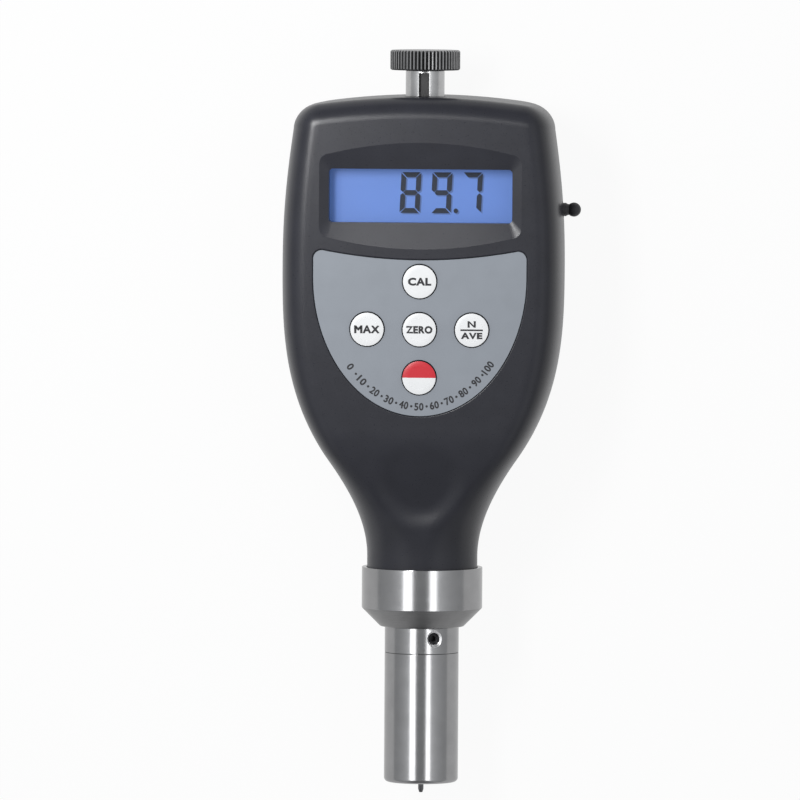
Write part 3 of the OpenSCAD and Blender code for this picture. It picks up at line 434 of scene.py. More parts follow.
# %% [markdown]
# ## Tools that cut
# A moulded half is hollow, with openings for the window, the keys, the post and the plug. The wall
# comes from a Solidify modifier, and the openings from Boolean modifiers, as in a workshop: make the
# blank, then cut it. One helper runs the modifier and hands back a plain bmesh, so nothing is left
# live. The sharp edges that remain are picked by their angle and rounded with a bevel.

# %% Cut, fuse, soften and hollow
def modified(bm, kind, tool=None, **settings):
    blanks = [linked("blank", as_mesh(shape, "blank")) for shape in (bm, tool) if shape is not None]
    modifier = blanks[0].modifiers.new("work", kind)
    if tool is not None:
        modifier.object = blanks[1]
        modifier.solver = "EXACT"
    for key, value in settings.items():
        setattr(modifier, key, value)
    result = bmesh.new()
    result.from_object(blanks[0], bpy.context.evaluated_depsgraph_get())
    for blank in blanks:
        mesh = blank.data
        bpy.data.objects.remove(blank)
        bpy.data.meshes.remove(mesh)
    return result


def cut(bm, tool):
    return modified(bm, "BOOLEAN", tool, operation="DIFFERENCE")


def fuse(bm, tool):
    return modified(bm, "BOOLEAN", tool, operation="UNION")


def any_edge(edge):
    return True


def upright(edge):
    return abs(edge.verts[0].co.z - edge.verts[1].co.z) > 1


def soften(bm, width, segments, wanted, limit=25):
    edges = [e for e in bm.edges if len(e.link_faces) == 2
             and degrees(e.calc_face_angle(0)) > limit and wanted(e)]
    bmesh.ops.bevel(bm, geom=edges, offset=width, offset_type="OFFSET", segments=segments,
                    profile=0.5, affect="EDGES", material=-1, clamp_overlap=True)
    return len(edges)


def merge_flat(bm):
    bmesh.ops.dissolve_limit(bm, angle_limit=radians(0.05), verts=bm.verts, edges=bm.edges)


def hollow(sheet, side):
    bm = modified(sheet, "SOLIDIFY", thickness=WALL, offset=-1.0, use_even_offset=True, use_rim=True)
    for vert in bm.verts:
        if (vert.co.z - AXIS_Z) * side < 0:
            vert.co.z = AXIS_Z
    merge_flat(bm)
    return bm


print("wall of the mouldings:", WALL, "mm")

# %% [markdown]
# ## Strips between two curves
# The display bezel and the keypad panel are both bounded by an upper and a lower curve. A grid one
# row deep, with its columns slid onto those curves, is such an outline; extruding it makes a plate.
# The columns crowd towards the ends, where the curves turn fastest. The panel's upper edge sags a
# little between its two round corners, and its lower edge is half an ellipse.

# %% Plates bounded by two curves
PANEL_W, PANEL_TOP, PANEL_SAG, PANEL_CORNER = 24.75, 40.5, 2.2, 2.0
PANEL_MID, PANEL_FALL = 34.3, 32.2


def of_kind(geometry, kind):
    return [part for part in geometry if isinstance(part, kind)]


def extrude_up(bm, faces, height, keep=True):
    made = bmesh.ops.extrude_face_region(bm, geom=faces)["geom"]
    bmesh.ops.translate(bm, vec=(0, 0, height), verts=of_kind(made, BMVert))
    if not keep:
        bmesh.ops.delete(bm, geom=faces, context="FACES_ONLY")
    return made


def plate(half, upper, lower, low_z, high_z, count=72):
    bm = bmesh.new()
    bmesh.ops.create_grid(bm, x_segments=count, y_segments=1, size=1)
    for vert in bm.verts:
        x = half * sin(pi / 2 * vert.co.x)
        vert.co = Vector((x, upper(x) if vert.co.y > 0 else lower(x), low_z))
    bmesh.ops.remove_doubles(bm, verts=bm.verts, dist=0.0005)
    extrude_up(bm, bm.faces[:], high_z - low_z)
    bmesh.ops.recalc_face_normals(bm, faces=bm.faces)
    merge_flat(bm)
    return bm


def arched(x, half, end, arch, corner):
    flat = half - corner
    if abs(x) > flat:
        return end - corner + sqrt(max(0.0, corner ** 2 - (abs(x) - flat) ** 2))
    return end + arch * (1 - (x / flat) ** 2)


def panel_upper(gap):
    return lambda x: arched(x, PANEL_W - gap, PANEL_TOP - gap, -PANEL_SAG, PANEL_CORNER)


def panel_lower(gap):
    half, fall = PANEL_W - gap, PANEL_FALL - gap
    return lambda x: PANEL_MID - fall * sqrt(max(0.0, 1 - (x / half) ** 2))


def panel_plate(gap, low_z, high_z):
    return plate(PANEL_W - gap, panel_upper(gap), panel_lower(gap), low_z, high_z)


print("panel from", round(panel_lower(0)(0), 2), "to", round(panel_upper(0)(0), 2), "mm")

# %% [markdown]
# ## The bezel
# The window lies at the bottom of a shallow funnel. Its outer edge is arched above and below, and
# its inner edge is the window itself. A loft between the two outlines would do. The cutter here is a
# plate with the outer outline whose lower face is squeezed to the window's size, so its walls become
# the sloping ramps and no outline is drawn twice.

# %% The funnel that leads down to the window
WINDOW_Y, WINDOW_CORNER = 53.0, 0.9
WINDOW = (21.2, 6.2)
BEZEL = {"half": 23.4, "end": 9.7, "arch": 2.6, "corner": 2.4}
BEZEL_DEEP, CLEAR = 1.0, 3


def bezel_reach(x):
    return arched(x, **BEZEL)


def onto_window(x, side):
    corner = BEZEL["corner"]
    flat = BEZEL["half"] - corner
    wide, tall = WINDOW[0] - WINDOW_CORNER, WINDOW[1] - WINDOW_CORNER
    if abs(x) <= flat:
        return x / flat * wide, side * WINDOW[1]
    lean = min(1.0, (abs(x) - flat) / corner)
    return (x / abs(x) * (wide + WINDOW_CORNER * lean),
            side * (tall + WINDOW_CORNER * sqrt(1 - lean * lean)))


def bezel_funnel():
    bm = plate(BEZEL["half"], lambda x: WINDOW_Y + bezel_reach(x),
               lambda x: WINDOW_Y - bezel_reach(x), FRONT_Z - BEZEL_DEEP, FRONT_Z)
    for vert in bm.verts:
        if vert.co.z < FRONT_Z - BEZEL_DEEP / 2:
            x, y = onto_window(vert.co.x, 1 if vert.co.y > WINDOW_Y else -1)
            vert.co.x, vert.co.y = x, WINDOW_Y + y
    extrude_up(bm, [f for f in bm.faces if f.normal.z > 0.9], CLEAR, keep=False)
    bmesh.ops.recalc_face_normals(bm, faces=bm.faces)
    return bm


def window_hole():
    bm = bar((-WINDOW[0], WINDOW[0]), (WINDOW_Y - WINDOW[1], WINDOW_Y + WINDOW[1]), (30, 36))
    soften(bm, WINDOW_CORNER, 8, upright)
    return bm


print("bezel height:", 2 * bezel_reach(0), "window:", [2 * side for side in WINDOW])

# %% [markdown]
# ## The thumb dimple
# A thumb slides in from above, so the hollow starts from nothing at its upper end and deepens to a
# round wall at its lower end, where the nail stops. A ball could be cut from the case, but its rim
# would be sharp. So the points of the sheet are pressed down before the wall gets its thickness: a
# round mask gives the wall, and a second slope fades the hollow out above.

# %% Press the dimple
DIMPLE_Y, DIMPLE_R, DIMPLE_DEEP, DIMPLE_WALL = -13.0, 11.8, 1.15, 5.8
FADE_LOW, FADE_HIGH = -20.0, -2.0


def press_dimple(sheet):
    moved = 0
    for vert in sheet.verts:
        inside = DIMPLE_R - sqrt(vert.co.x ** 2 + (vert.co.y - DIMPLE_Y) ** 2)
        if inside > 0 and vert.co.z > AXIS_Z + 4:
            wall = rise(0, DIMPLE_WALL, inside)
            fade = 1 - rise(FADE_LOW, FADE_HIGH, vert.co.y)
            vert.co.z -= DIMPLE_DEEP * wall * fade
            moved += 1
    print("dimple points:", moved)
    return sheet


# %% [markdown]
# ## The front half of the case
# The hollowed sheet is split down the middle, so that no flat face has a hole in it once the window
# is cut: a face with a hole can be filled the wrong way. Then come the frame behind the window, the
# screw bosses and the clamp of the post, and the openings. Adding first and cutting last keeps each
# opening clear. At the end the mouths of bezel and panel get the small radius that a mould leaves.

# %% Build the front half
KEYS = {"cal": (0, 33.3), "max": (-12.1, 22.2), "zero": (0, 22.2), "average": (12.1, 22.2),
        "power": (0, 11.1)}
UPPER_BOSSES, LOWER_BOSSES = [(18, 68.1), (-18, 68.1)], [(13, -6.7), (-13, -6.7)]
KEY_HOLE_R, PLUG_Y = 4.1, 49.6
CLAMP_X, CLAMP_Y = (-9, 9), (69.4, 70.9)
RECESS = 0.56


def everything(bm):
    return bm.verts[:] + bm.edges[:] + bm.faces[:]


def open_for_post_and_plug(half):
    half = cut(half, rod((0, 74.4, AXIS_Z), ALONG, 4.7, 14))
    return cut(half, rod((32, PLUG_Y, AXIS_Z), ACROSS, 1.95, 16, 32))


front = hollow(press_dimple(wrapped(FRONT)), FRONT)
bmesh.ops.bisect_plane(front, geom=everything(front), plane_co=(0, 0, 0), plane_no=ACROSS,
                       dist=0.001)
bmesh.ops.dissolve_degenerate(front, edges=front.edges, dist=0.0005)
front = fuse(front, bar((-23.8, 23.8), (WINDOW_Y - 10.7, WINDOW_Y + 10.7), (32.0, 34.9)))
front = fuse(front, together(rods(UPPER_BOSSES, 26.5, 2.9, 14, 24),
                             rods(LOWER_BOSSES, 26.5, 2.9, 13, 24)))
front = fuse(front, bar(CLAMP_X, CLAMP_Y, (AXIS_Z, 34.9)))
front = cut(front, bezel_funnel())
front = cut(front, window_hole())
front = cut(front, panel_plate(0, FRONT_Z - RECESS, FRONT_Z + 1))
front = cut(front, rods(KEYS.values(), 34, KEY_HOLE_R, 6))
front = open_for_post_and_plug(front)


def on_bezel_mouth(edge):
    return all(abs(v.co.z - FRONT_Z) < 0.01
               and abs(abs(v.co.y - WINDOW_Y) - bezel_reach(v.co.x)) < 0.05 for v in edge.verts)


def on_panel_mouth(edge):
    for vert in edge.verts:
        x = max(-PANEL_W, min(PANEL_W, vert.co.x))
        off = min(abs(vert.co.y - curve(x)) for curve in (panel_upper(0), panel_lower(0)))
        if vert.co.z <= FRONT_Z - 0.3 or off >= 0.06:
            return False
    return True


print("bezel mouth edges:", soften(front, 1.3, 7, on_bezel_mouth, 2))
print("panel mouth edges:", soften(front, 0.3, 3, on_panel_mouth, 40))
place("front_case", front, "case", ["case_plastic"], ["front_shell"], weighted=True)

# %% [markdown]
# ## The back half of the case
# The back is wrapped and hollowed like the front. A battery bay with its own floor is fused in, then
# the bay, the channel that the cover slides along, the deep holes for the case screws and the round
# openings for post and plug are cut. Cutting after fusing keeps every opening clear right through.

# %% Build the back half
BOSSES = UPPER_BOSSES + LOWER_BOSSES
CHANNEL_Y, BAY_LOW, BAY_HIGH = (12.3, 82.6), 13.8, 62.7
back = hollow(wrapped(BACK), BACK)
back = fuse(back, bar((-22.9, 22.9), (12.5, 64.0), (1.1, 14.7)))
back = fuse(back, bar((-22.85, 22.85), (BAY_HIGH, 71.92), (1.15, 4.5)))
back = fuse(back, rods(BOSSES, 10.3, 3.4, 18.4, 48))
back = fuse(back, bar(CLAMP_X, CLAMP_Y, (3.5, AXIS_Z)))
back = cut(back, bar((-21.6, 21.6), (BAY_LOW, BAY_HIGH), (-1, 13.4)))
back = cut(back, bar((-22.0, 22.0), CHANNEL_Y, (-1, 2.5)))
back = cut(back, bar((-23.2, 23.2), CHANNEL_Y, (1.0, 2.5)))
back = cut(back, rods(BOSSES, 5.75, 2.5, 13.5, 48))
back = cut(back, rods(BOSSES, 16, 1.45, 9, 32))
back = open_for_post_and_plug(back)
place("back_case", back, "case", ["case_plastic"], ["back_shell"], weighted=True)

# %% [markdown]
# ## The battery cover
# The cover is a lid that carries on the form of the back. Modelling it afresh would leave a step, so
# it is a piece of the same wrapped sheet, a little inside it, cut out with four planes and thickened
# to a flat inner face. Two tongues along its sides slide in the grooves of the back, and six grooves
# give the thumb its grip.

# %% Cut the cover from the sheet
COVER_HALF, COVER_LOW, COVER_FLOOR = 21.8, 12.5, 2.3
GRIPS, GRIP_STEP = 6, 2
cover = wrapped(BACK, 0.3)
for point, outward in (((COVER_HALF, 0, 0), (1, 0, 0)), ((-COVER_HALF, 0, 0), (-1, 0, 0)),
                       ((0, COVER_LOW, 0), (0, -1, 0)), ((0, 0, COVER_FLOOR), (0, 0, 1))):
    bmesh.ops.bisect_plane(cover, geom=everything(cover), plane_co=point, plane_no=outward,
                           clear_outer=True)
for vert in of_kind(extrude_up(cover, cover.faces[:], 0), BMVert):
    vert.co.z = COVER_FLOOR
bmesh.ops.remove_doubles(cover, verts=cover.verts, dist=0.001)
bmesh.ops.dissolve_degenerate(cover, edges=cover.edges, dist=0.0005)
bmesh.ops.recalc_face_normals(cover, faces=cover.faces)
cover = fuse(cover, bar((-22.8, 22.8), (BAY_LOW, BAY_HIGH), (1.2, COVER_FLOOR - 0.05)))
for i in range(GRIPS):
    grip = (BAY_HIGH - GRIP_STEP * (i + 0.5), BAY_HIGH - GRIP_STEP * i)
    groove = bar((-10.9, 10.9), grip, (-1, 0.8))
    soften(groove, 0.45, 4, upright)
    cover = cut(cover, groove)


def under_cover(edge):
    return max(v.co.z for v in edge.verts) < 1.0


print("cover edges rounded:", soften(cover, 0.15, 2, under_cover, 40))
place("battery_lid", cover, "cover", ["case_plastic"], ["battery_cover"],
      weighted=True)

# %% [markdown]
# ## The keypad panel
# A printed film lies in the shallow recess, with a round hole for every key. It is the recess outline
# a tenth of a millimetre smaller all round, with its upper edge just broken, as a die leaves it.
# Using the recess's own function keeps the gap even.

# %% Build the panel
PANEL_Z = 35.99
panel = panel_plate(0.1, 35.46, PANEL_Z)
panel = cut(panel, rods(KEYS.values(), 35.7, KEY_HOLE_R, 2, 72))


def on_film_top(edge):
    return min(v.co.z for v in edge.verts) > 35.9


print("panel edges broken:", soften(panel, 0.08, 2, on_film_top, 40))
place("panel_film", panel, "case", ["panel_grey"], ["keypad_panel"], sharp=20,
      weighted=True)

# %% [markdown]
# ## Spinning a profile
# Keys, plug and steel parts are all round, so each is half a section spun about its axis, just as a
# lathe makes it. The profile lists radius and distance along the axis. A profile that returns to its
# start makes a tube; one that starts and ends on the axis makes a solid.

# %% A lathe
def turned(profile, at, axis, sides=96, tube=False):
    bm = bmesh.new()
    section = [bm.verts.new((r, 0, s)) for r, s in profile]
    edges = [bm.edges.new(pair) for pair in zip(section, section[1:])]
    if tube:
        edges.append(bm.edges.new((section[-1], section[0])))
    bmesh.ops.spin(bm, geom=section + edges, cent=(0, 0, 0), axis=UP, angle=2 * pi, steps=sides,
                   use_merge=True)
    bmesh.ops.remove_doubles(bm, verts=bm.verts, dist=0.0005)
    bmesh.ops.recalc_face_normals(bm, faces=bm.faces)
    bmesh.ops.transform(bm, matrix=stood(at, axis), verts=bm.verts)
    return bm


# %% [markdown]
# ## Keys
# A key is a cap that shows, a flange that keeps it behind the case and a short rod that works the
# switch. The caps are white, with their outer edge painted black as painted shade for the gap round
# them. The power key is red above and white below: a spin with an even number of steps has a row of
# edges straight across the cap, which parts the two colours.

# %% Spin the keys
CAP_R, CAP_TOP, CAP_SHADE_RIM = 3.9, 36.5, 0.08
KEY_PROFILE = [(0, 30.0), (1.5, 30.0), (1.5, 32.8), (5.0, 32.8), (5.0, 33.7), (CAP_R, 33.7),
               (CAP_R, CAP_TOP - 0.2), (CAP_R - 0.06, CAP_TOP - 0.06),
               (CAP_R - 0.2, CAP_TOP - 0.01), (2.6, CAP_TOP), (0, CAP_TOP)]
for key, (x, y) in KEYS.items():
    bm = turned(KEY_PROFILE, (x, y, 0), UP, 72)
    for face in bm.faces:
        middle = face.calc_center_median()
        # The outer edge of the cap is painted black: painted shade for the gap round the key.
        if Vector((middle.x - x, middle.y - y)).length > CAP_R - CAP_SHADE_RIM:
            face.material_index = 1
        elif key == "power" and middle.y > y:
            face.material_index = 2
    place(key + "_cap", bm, key + "_key", ["key_white", "print_and_shade_black", "key_red"],
          ["key_" + key])

# %% [markdown]
# ## Printed words
# Legends are printed: a film of ink a few hundredths of a millimetre thick. Blender's text gives the
# letter shapes as flat faces. Its letters are slim and the real print is bold, so the points of each
# outline are pushed outwards before the faces get their thickness. Each word is fitted to its height
# and width as a mesh, so that the object stays at the origin.

# %% Words as ink
INK = 0.03


def embolden(bm, by):
    pushes = {}
    for edge in bm.edges:
        if len(edge.link_faces) == 1:
            loop = edge.link_loops[0]
            along = (loop.link_loop_next.vert.co - loop.vert.co).normalized() * loop.face.normal.z
            for vert in edge.verts:
                pushes.setdefault(vert, []).append(Vector((along.y, -along.x, 0)))
    for vert, outward in pushes.items():
        mean = sum(outward, Vector()) / len(outward)
        vert.co += by * mean / max(mean.length_squared, 0.4)


def letters(text, bold):
    curve = bpy.data.curves.new("ink", "FONT")
    curve.body, curve.align_x, curve.align_y = text, "CENTER", "CENTER"
    curve.resolution_u, curve.space_character = 3, 1.0 + 2 * bold
    letter = linked("ink", curve)
    flat = letter.evaluated_get(bpy.context.evaluated_depsgraph_get())
    mesh = bpy.data.meshes.new_from_object(flat)
    bm = bmesh.new()
    bm.from_mesh(mesh)
    bpy.data.objects.remove(letter)
    bpy.data.curves.remove(curve)
    bpy.data.meshes.remove(mesh)
    return bm


def words(text, width, height, at, turn=0.0, bold=0.055):
    bm = letters(text, bold)
    bmesh.ops.remove_doubles(bm, verts=bm.verts, dist=0.0001)
    bm.normal_update()
    embolden(bm, bold)
    low = [min(v.co[i] for v in bm.verts) for i in range(2)]
    high = [max(v.co[i] for v in bm.verts) for i in range(2)]
    bmesh.ops.translate(bm, vec=(-(low[0] + high[0]) / 2, -(low[1] + high[1]) / 2, -INK / 2),
                        verts=bm.verts)
    bmesh.ops.scale(bm, vec=(width / (high[0] - low[0]), height / (high[1] - low[1]), 1),
                    verts=bm.verts)
    extrude_up(bm, bm.faces[:], INK)
    bmesh.ops.recalc_face_normals(bm, faces=bm.faces)
    bmesh.ops.transform(bm, matrix=Matrix.Translation(at) @ Matrix.Rotation(turn, 4, "Z"),
                        verts=bm.verts)
    return bm


# %% Legends on the keys
LEGENDS = {
    "cal": [("CAL", 5.4, 1.85, 0)],
    "max": [("MAX", 5.9, 1.85, 0)],
    "zero": [("ZERO", 6.1, 1.8, 0)],
    "average": [("N", 1.9, 1.5, 1.35), ("AVE", 5.0, 1.5, -1.3)],
}
LINE_HALF, LINE_THICK = 2.6, 0.19
for key, lines in LEGENDS.items():
    x, y = KEYS[key]
    ink = [words(text, width, height, (x, y + up, CAP_TOP)) for text, width, height, up in lines]
    if len(ink) > 1:
        ink.append(bar((x - LINE_HALF, x + LINE_HALF), (y - LINE_THICK, y + LINE_THICK),
                       (CAP_TOP - INK / 2, CAP_TOP + INK / 2)))
    place(key + "_legend", together(*ink), key + "_key", ["print_and_shade_black"], sharp=20)

# %% [markdown]
# ## Numbers on the panel
# The scale's tens stand along the lower edge of the panel, each turned to follow it, with a dot
# between two numbers. They could be one bent text, but single words set along an ellipse keep their
# shape and are easy to space.

# %% Numbers along the lower edge of the panel
NUMBERS_X, NUMBERS_Y, NUMBERS_SPAN, HALF_TENS, DOT_R = 22.1, 29.9, 92, 20, 0.28
marks = []
for step in range(HALF_TENS + 1):
    angle = radians(-NUMBERS_SPAN / 2 + NUMBERS_SPAN * step / HALF_TENS)
    at = (NUMBERS_X * sin(angle), PANEL_MID - NUMBERS_Y * cos(angle), PANEL_Z)
    lean = atan2(NUMBERS_Y * sin(angle), NUMBERS_X * cos(angle))
    if step % 2:
        marks.append(rod(at, UP, DOT_R, INK, 20))
    else:
        number = str(step * 5)
        marks.append(words(number, 0.95 * len(number) + 0.25, 1.8, at, lean, 0.035))
place("panel_numbers", together(*marks), "case", ["print_and_shade_black"], sharp=20)

# %% [markdown]
# ## The reading on the display
# The digits are made of bars with mitred ends, which are dark where the liquid crystal is switched
# on. A bar is a few points filled and extruded to a thin film on the glass. A second, paler copy lies
# under it, a little lower and to the right: the shadow that the crystal layer throws on its backing.
# Geometry keeps the ends crisp at any distance, where a texture would blur.

# %% Seven bars make a digit
GLASS_TOP, FILM = 30.7, 0.012
TALL, WIDE, STROKE, GAP, SLANT = 9.45, 4.65, 1.16, 0.1, 0.045


def bar_outline(which):
    a, t, w, g = WIDE / 2, TALL / 2, STROKE, GAP
    ends = {
        "top": [(-a + 2 * g, t), (a - 2 * g, t), (a - w - g, t - w), (-a + w + g, t - w)],
        "middle": [(-a + w / 2 + g, 0), (-a + w, w / 2), (a - w, w / 2), (a - w / 2 - g, 0),
                   (a - w, -w / 2), (-a + w, -w / 2)],
        "right": [(a, t - 2 * g), (a, w / 2), (a - w / 2, g), (a - w, w / 2 + g),
                  (a - w, t - w - g)],
    }
    flat, _, side = which.partition(" ")
    if flat in ends:
        points = ends[flat]
    elif flat == "bottom":
        points = [(x, -y) for x, y in ends["top"]]
    else:
        points = [(-x, y) for x, y in ends["right"]]
    return [(x, -y) for x, y in points] if side == "low" else points


def lit(bars, centre, shift):
    bm = bmesh.new()
    for which in bars:
        corners = [bm.verts.new((x + SLANT * y, y, 0)) for x, y in bar_outline(which)]
        bmesh.ops.contextual_create(bm, geom=corners)
    bmesh.ops.translate(bm, vec=(centre[0] + shift[0], centre[1] + shift[1], shift[2]),
                        verts=bm.verts)
    extrude_up(bm, bm.faces[:], FILM)
    bmesh.ops.recalc_face_normals(bm, faces=bm.faces)
    return bm


EIGHT = ["top", "middle", "bottom", "right", "right low", "left", "left low"]
NINE = [which for which in EIGHT if which != "left low"]
SEVEN = ["top", "right", "right low"]
READING = [(EIGHT, (-2.57, 53.64)), (NINE, (4.63, 53.66)), (SEVEN, (11.65, 53.7))]
POINT_X, POINT_Y, POINT_R = 7.94, 49.5, 0.54
for name, look, shift in (("digits", "lcd_segment", (0, 0, GLASS_TOP + 0.004)),
                          ("digit_shadows", "lcd_shadow", (0.32, -0.3, GLASS_TOP - 0.009))):
    film = [lit(bars, centre, shift) for bars, centre in READING]
    film.append(rod((POINT_X + shift[0], POINT_Y + shift[1], shift[2] + FILM / 2), UP, POINT_R,
                    FILM, 32))
    place(name, together(*film), "case", [look])

# %% [markdown]
# ## Turned steel
# Collar, probe body and presser foot share one axis. The collar is a cup with a coned underside that
# grips the neck of the case. Each part could be stacked from cylinders, but one spun profile has no
# seams. Each sharp edge is broken with a small bevel, which catches the light as a thin bright line,
# as it does on real turned work.

# %% Collar
ON_AXIS = (0, 0, AXIS_Z)
FINE_TURN, BREAK_ANGLE = 144, 30
collar = turned([(7.05, -47.5), (9.7, -47.5), (10.1, -47.1), (14.0, -43.2), (14.0, NECK_Y),
                 (12.95, NECK_Y), (12.95, -40.7), (7.05, -40.7)],
                ON_AXIS, ALONG, FINE_TURN, tube=True)
print("collar edges broken:", soften(collar, 0.14, 2, any_edge, BREAK_ANGLE))
# The downward-facing cone gets a darker colour, which is painted shade, and a rougher turned grain.
for face in collar.faces:
    face.material_index = int(face.normal.y < -0.5 and face.calc_center_median().y > -47.3)
place("turned_collar", collar, "case", ["turned_steel", "coned_steel_painted_shade"], ["collar"],
      weighted=True)

# %% [markdown]
# ## Probe body and set screw
# The probe body is a stem with a ring, and a small screw in the ring locks the spring's adjuster.
# Its hole is drilled and countersunk. The countersink is real geometry, because its bright crescent
# is what the eye finds first on the ring. The faces in the hole get a rough, drilled finish whose
# pale colour is a painted highlight that brightens the crescent.

# %% Probe body with the set screw's hole
SCREW_TURN = radians(24)
SCREW_AT = Vector((0, -50.0, AXIS_Z))
SCREW_AXIS = Vector((sin(SCREW_TURN), 0, cos(SCREW_TURN)))
probe = turned([(5.5, -61.6), (6.8, -61.6), (6.8, -53.55), (8.6, -53.55), (8.6, -47.55),
                (7.0, -47.55), (7.0, -29.7), (5.5, -29.7)], ON_AXIS, ALONG, FINE_TURN, tube=True)
print("ring edges broken:", soften(probe, 0.12, 2, any_edge, BREAK_ANGLE))
probe = cut(probe, rod(SCREW_AT + SCREW_AXIS * 8, SCREW_AXIS, 1.4, 8, 40))
probe = cut(probe, turned([(0, 7.9), (1.3, 7.9), (2.3, 8.9), (0, 8.9)], SCREW_AT, SCREW_AXIS, 48))


def at_screw_hole(face):
    off = face.calc_center_median() - SCREW_AT
    along = off.dot(SCREW_AXIS)
    near = (off - SCREW_AXIS * along).length < 1.9
    return along > 5 and near and abs(face.normal.dot(SCREW_AXIS)) < 0.85


# The faces in the hole get a pale colour, a painted highlight for the crescent.
for face in probe.faces:
    face.material_index = int(at_screw_hole(face))
place("turned_probe", probe, "case", ["turned_steel", "drilled_steel_painted_highlight"],
      ["probe_body"], weighted=True)

# %% Set screw with its hexagon socket
screw = rod(SCREW_AT + SCREW_AXIS * 6.475, SCREW_AXIS, 1.35, 1.85, 40)
print("screw edges broken:", soften(screw, 0.15, 2, any_edge, 40))
screw = cut(screw, rod(SCREW_AT + SCREW_AXIS * 7.4, SCREW_AXIS, 0.75, 2.2, 6))
place("socket_screw", screw, "case", ["screw_black"], ["set_screw"])

# %% [markdown]
# ## Presser foot and indenter
# The foot is a tube closed by a flat end with a hole, and the indenter's blunt cone stands out of it.
# Both are spun. The foot's outer corner is a true quarter round in the profile, because it is larger
# than the edges that a bevel breaks.

# %% Presser foot
FOOT_Y, FOOT_R, FOOT_ROUND = -83.8, 8.6, 1.0
nose = [(FOOT_R - FOOT_ROUND + FOOT_ROUND * sin(radians(10 * i)),
         FOOT_Y + FOOT_ROUND - FOOT_ROUND * cos(radians(10 * i))) for i in range(10)]
bore = [(FOOT_R, -53.6), (6.85, -53.6), (6.85, -73.8), (4.55, -73.8), (4.55, -80.8), (1.5, -80.8)]
foot = turned([(1.5, FOOT_Y)] + nose + bore, ON_AXIS, ALONG, FINE_TURN, tube=True)
print("foot edges broken:", soften(foot, 0.12, 2, any_edge, BREAK_ANGLE))
place("turned_foot", foot, "case", ["turned_steel"], ["presser_foot"],
      weighted=True)

# %% Indenter
tip = turned([(0, -86.3), (0.36, -86.3), (0.395, -86.27), (0.635, -85.54), (0.635, -75.0),
              (0, -75.0)], ON_AXIS, ALONG, 48)
place("indenter_pin", tip, "plunger", ["indenter_steel"], ["indenter"], sharp=25)

# %% [markdown]
# ## Stand post
# The post is turned with a flange that the case halves clamp, and a slot is milled down its front to
# key a stand. It is spun and then cut, in the order of the real work, so the slot's faces can be
# told by their place and get the dull, milled finish, painted very dark as painted shade in the slot.

# %% Post
SLOT_X, SLOT_Y, SLOT_Z = (-1.2, 1.2), (73.5, 81.1), (22.7, 30)
post = turned([(0, 68.4), (4.5, 68.4), (4.5, 71.0), (6.5, 71.0), (6.5, 73.2), (4.5, 73.2),
               (4.5, 81.6), (2.5, 81.6), (2.5, 85.5), (0, 85.5)], ON_AXIS, ALONG, 96)
print("post edges broken:", soften(post, 0.12, 2, any_edge, BREAK_ANGLE))
post = cut(post, bar(SLOT_X, SLOT_Y, SLOT_Z))
# The slot's floor is painted very dark: painted shade in the deep slot.
for face in post.faces:
    middle = face.calc_center_median()
    face.material_index = int(abs(middle.x) < 1.21 and 73.4 < middle.y < 81.2
                              and 22.6 < middle.z < 23.9)
place("slotted_post", post, "case", ["post_steel", "milled_steel_painted_shade"], ["stand_post"],
      weighted=True)

# %% [markdown]
# ## Knurled nut
# The nut on the post is turned by hand, so its rim is knurled. The knurl is made on a circle with six
# points to a flute: extruding it in three steps, with the points pulled in at both ends, gives the
# flutes and the two chamfers in one go. Only the first and last face stay, as the two ends.

# %% Knurled nut
NUT_R, FLUTES, FLUTE, NUT_LOW, NUT_HIGH, NUT_EDGE = 8.1, 58, 0.35, 81.7, 86.3, 0.3
RIM_LOW, RIM_HIGH = NUT_LOW + NUT_EDGE, NUT_HIGH - NUT_EDGE


def knurl(vert, limit, height):
    angle = atan2(vert.co.y, vert.co.x)
    phase = abs((angle * FLUTES / (2 * pi) + 0.5) % 1.0 - 0.5)
    r = min(limit, NUT_R - FLUTE * max(0.0, phase - 0.2) / 0.3)
    vert.co = Vector((r * cos(angle), r * sin(angle), height))


nut = bmesh.new()
bmesh.ops.create_circle(nut, cap_ends=True, segments=FLUTES * 6, radius=NUT_R)
for vert in nut.verts:
    knurl(vert, NUT_R - NUT_EDGE, NUT_LOW)
lid = nut.faces[:]
for height, limit in ((RIM_LOW, NUT_R), (RIM_HIGH, NUT_R), (NUT_HIGH, NUT_R - NUT_EDGE)):
    made = extrude_up(nut, lid, 0, keep=height == RIM_LOW)
    lid = of_kind(made, BMFace)
    for vert in of_kind(made, BMVert):
        knurl(vert, limit, height)
bmesh.ops.recalc_face_normals(nut, faces=nut.faces)
bmesh.ops.transform(nut, matrix=stood(ON_AXIS, ALONG), verts=nut.verts)
nut = cut(nut, rod((0, 82.6, AXIS_Z), ALONG, 2.55, 5.9, 48))
# The faces inside the flutes are painted darker than the crests: painted shade between the flutes.
for face in nut.faces:
    middle = face.calc_center_median()
    reach = sqrt(middle.x ** 2 + (middle.z - AXIS_Z) ** 2)
    face.material_index = int(7 < reach < NUT_R - 0.05 and abs(face.normal.y) < 0.3)
knob = place("knurled_knob", nut, "nut", ["knurled_steel", "knurl_groove_painted_shade"],
             ["knurled_nut"], sharp=25)

# %% [markdown]
# ## Rubber plug
# The plug keeps dust out of the data jack. It is a soft pin with a waist and a ball end to pull on,
# spun like the steel parts, but about an axis across the case.

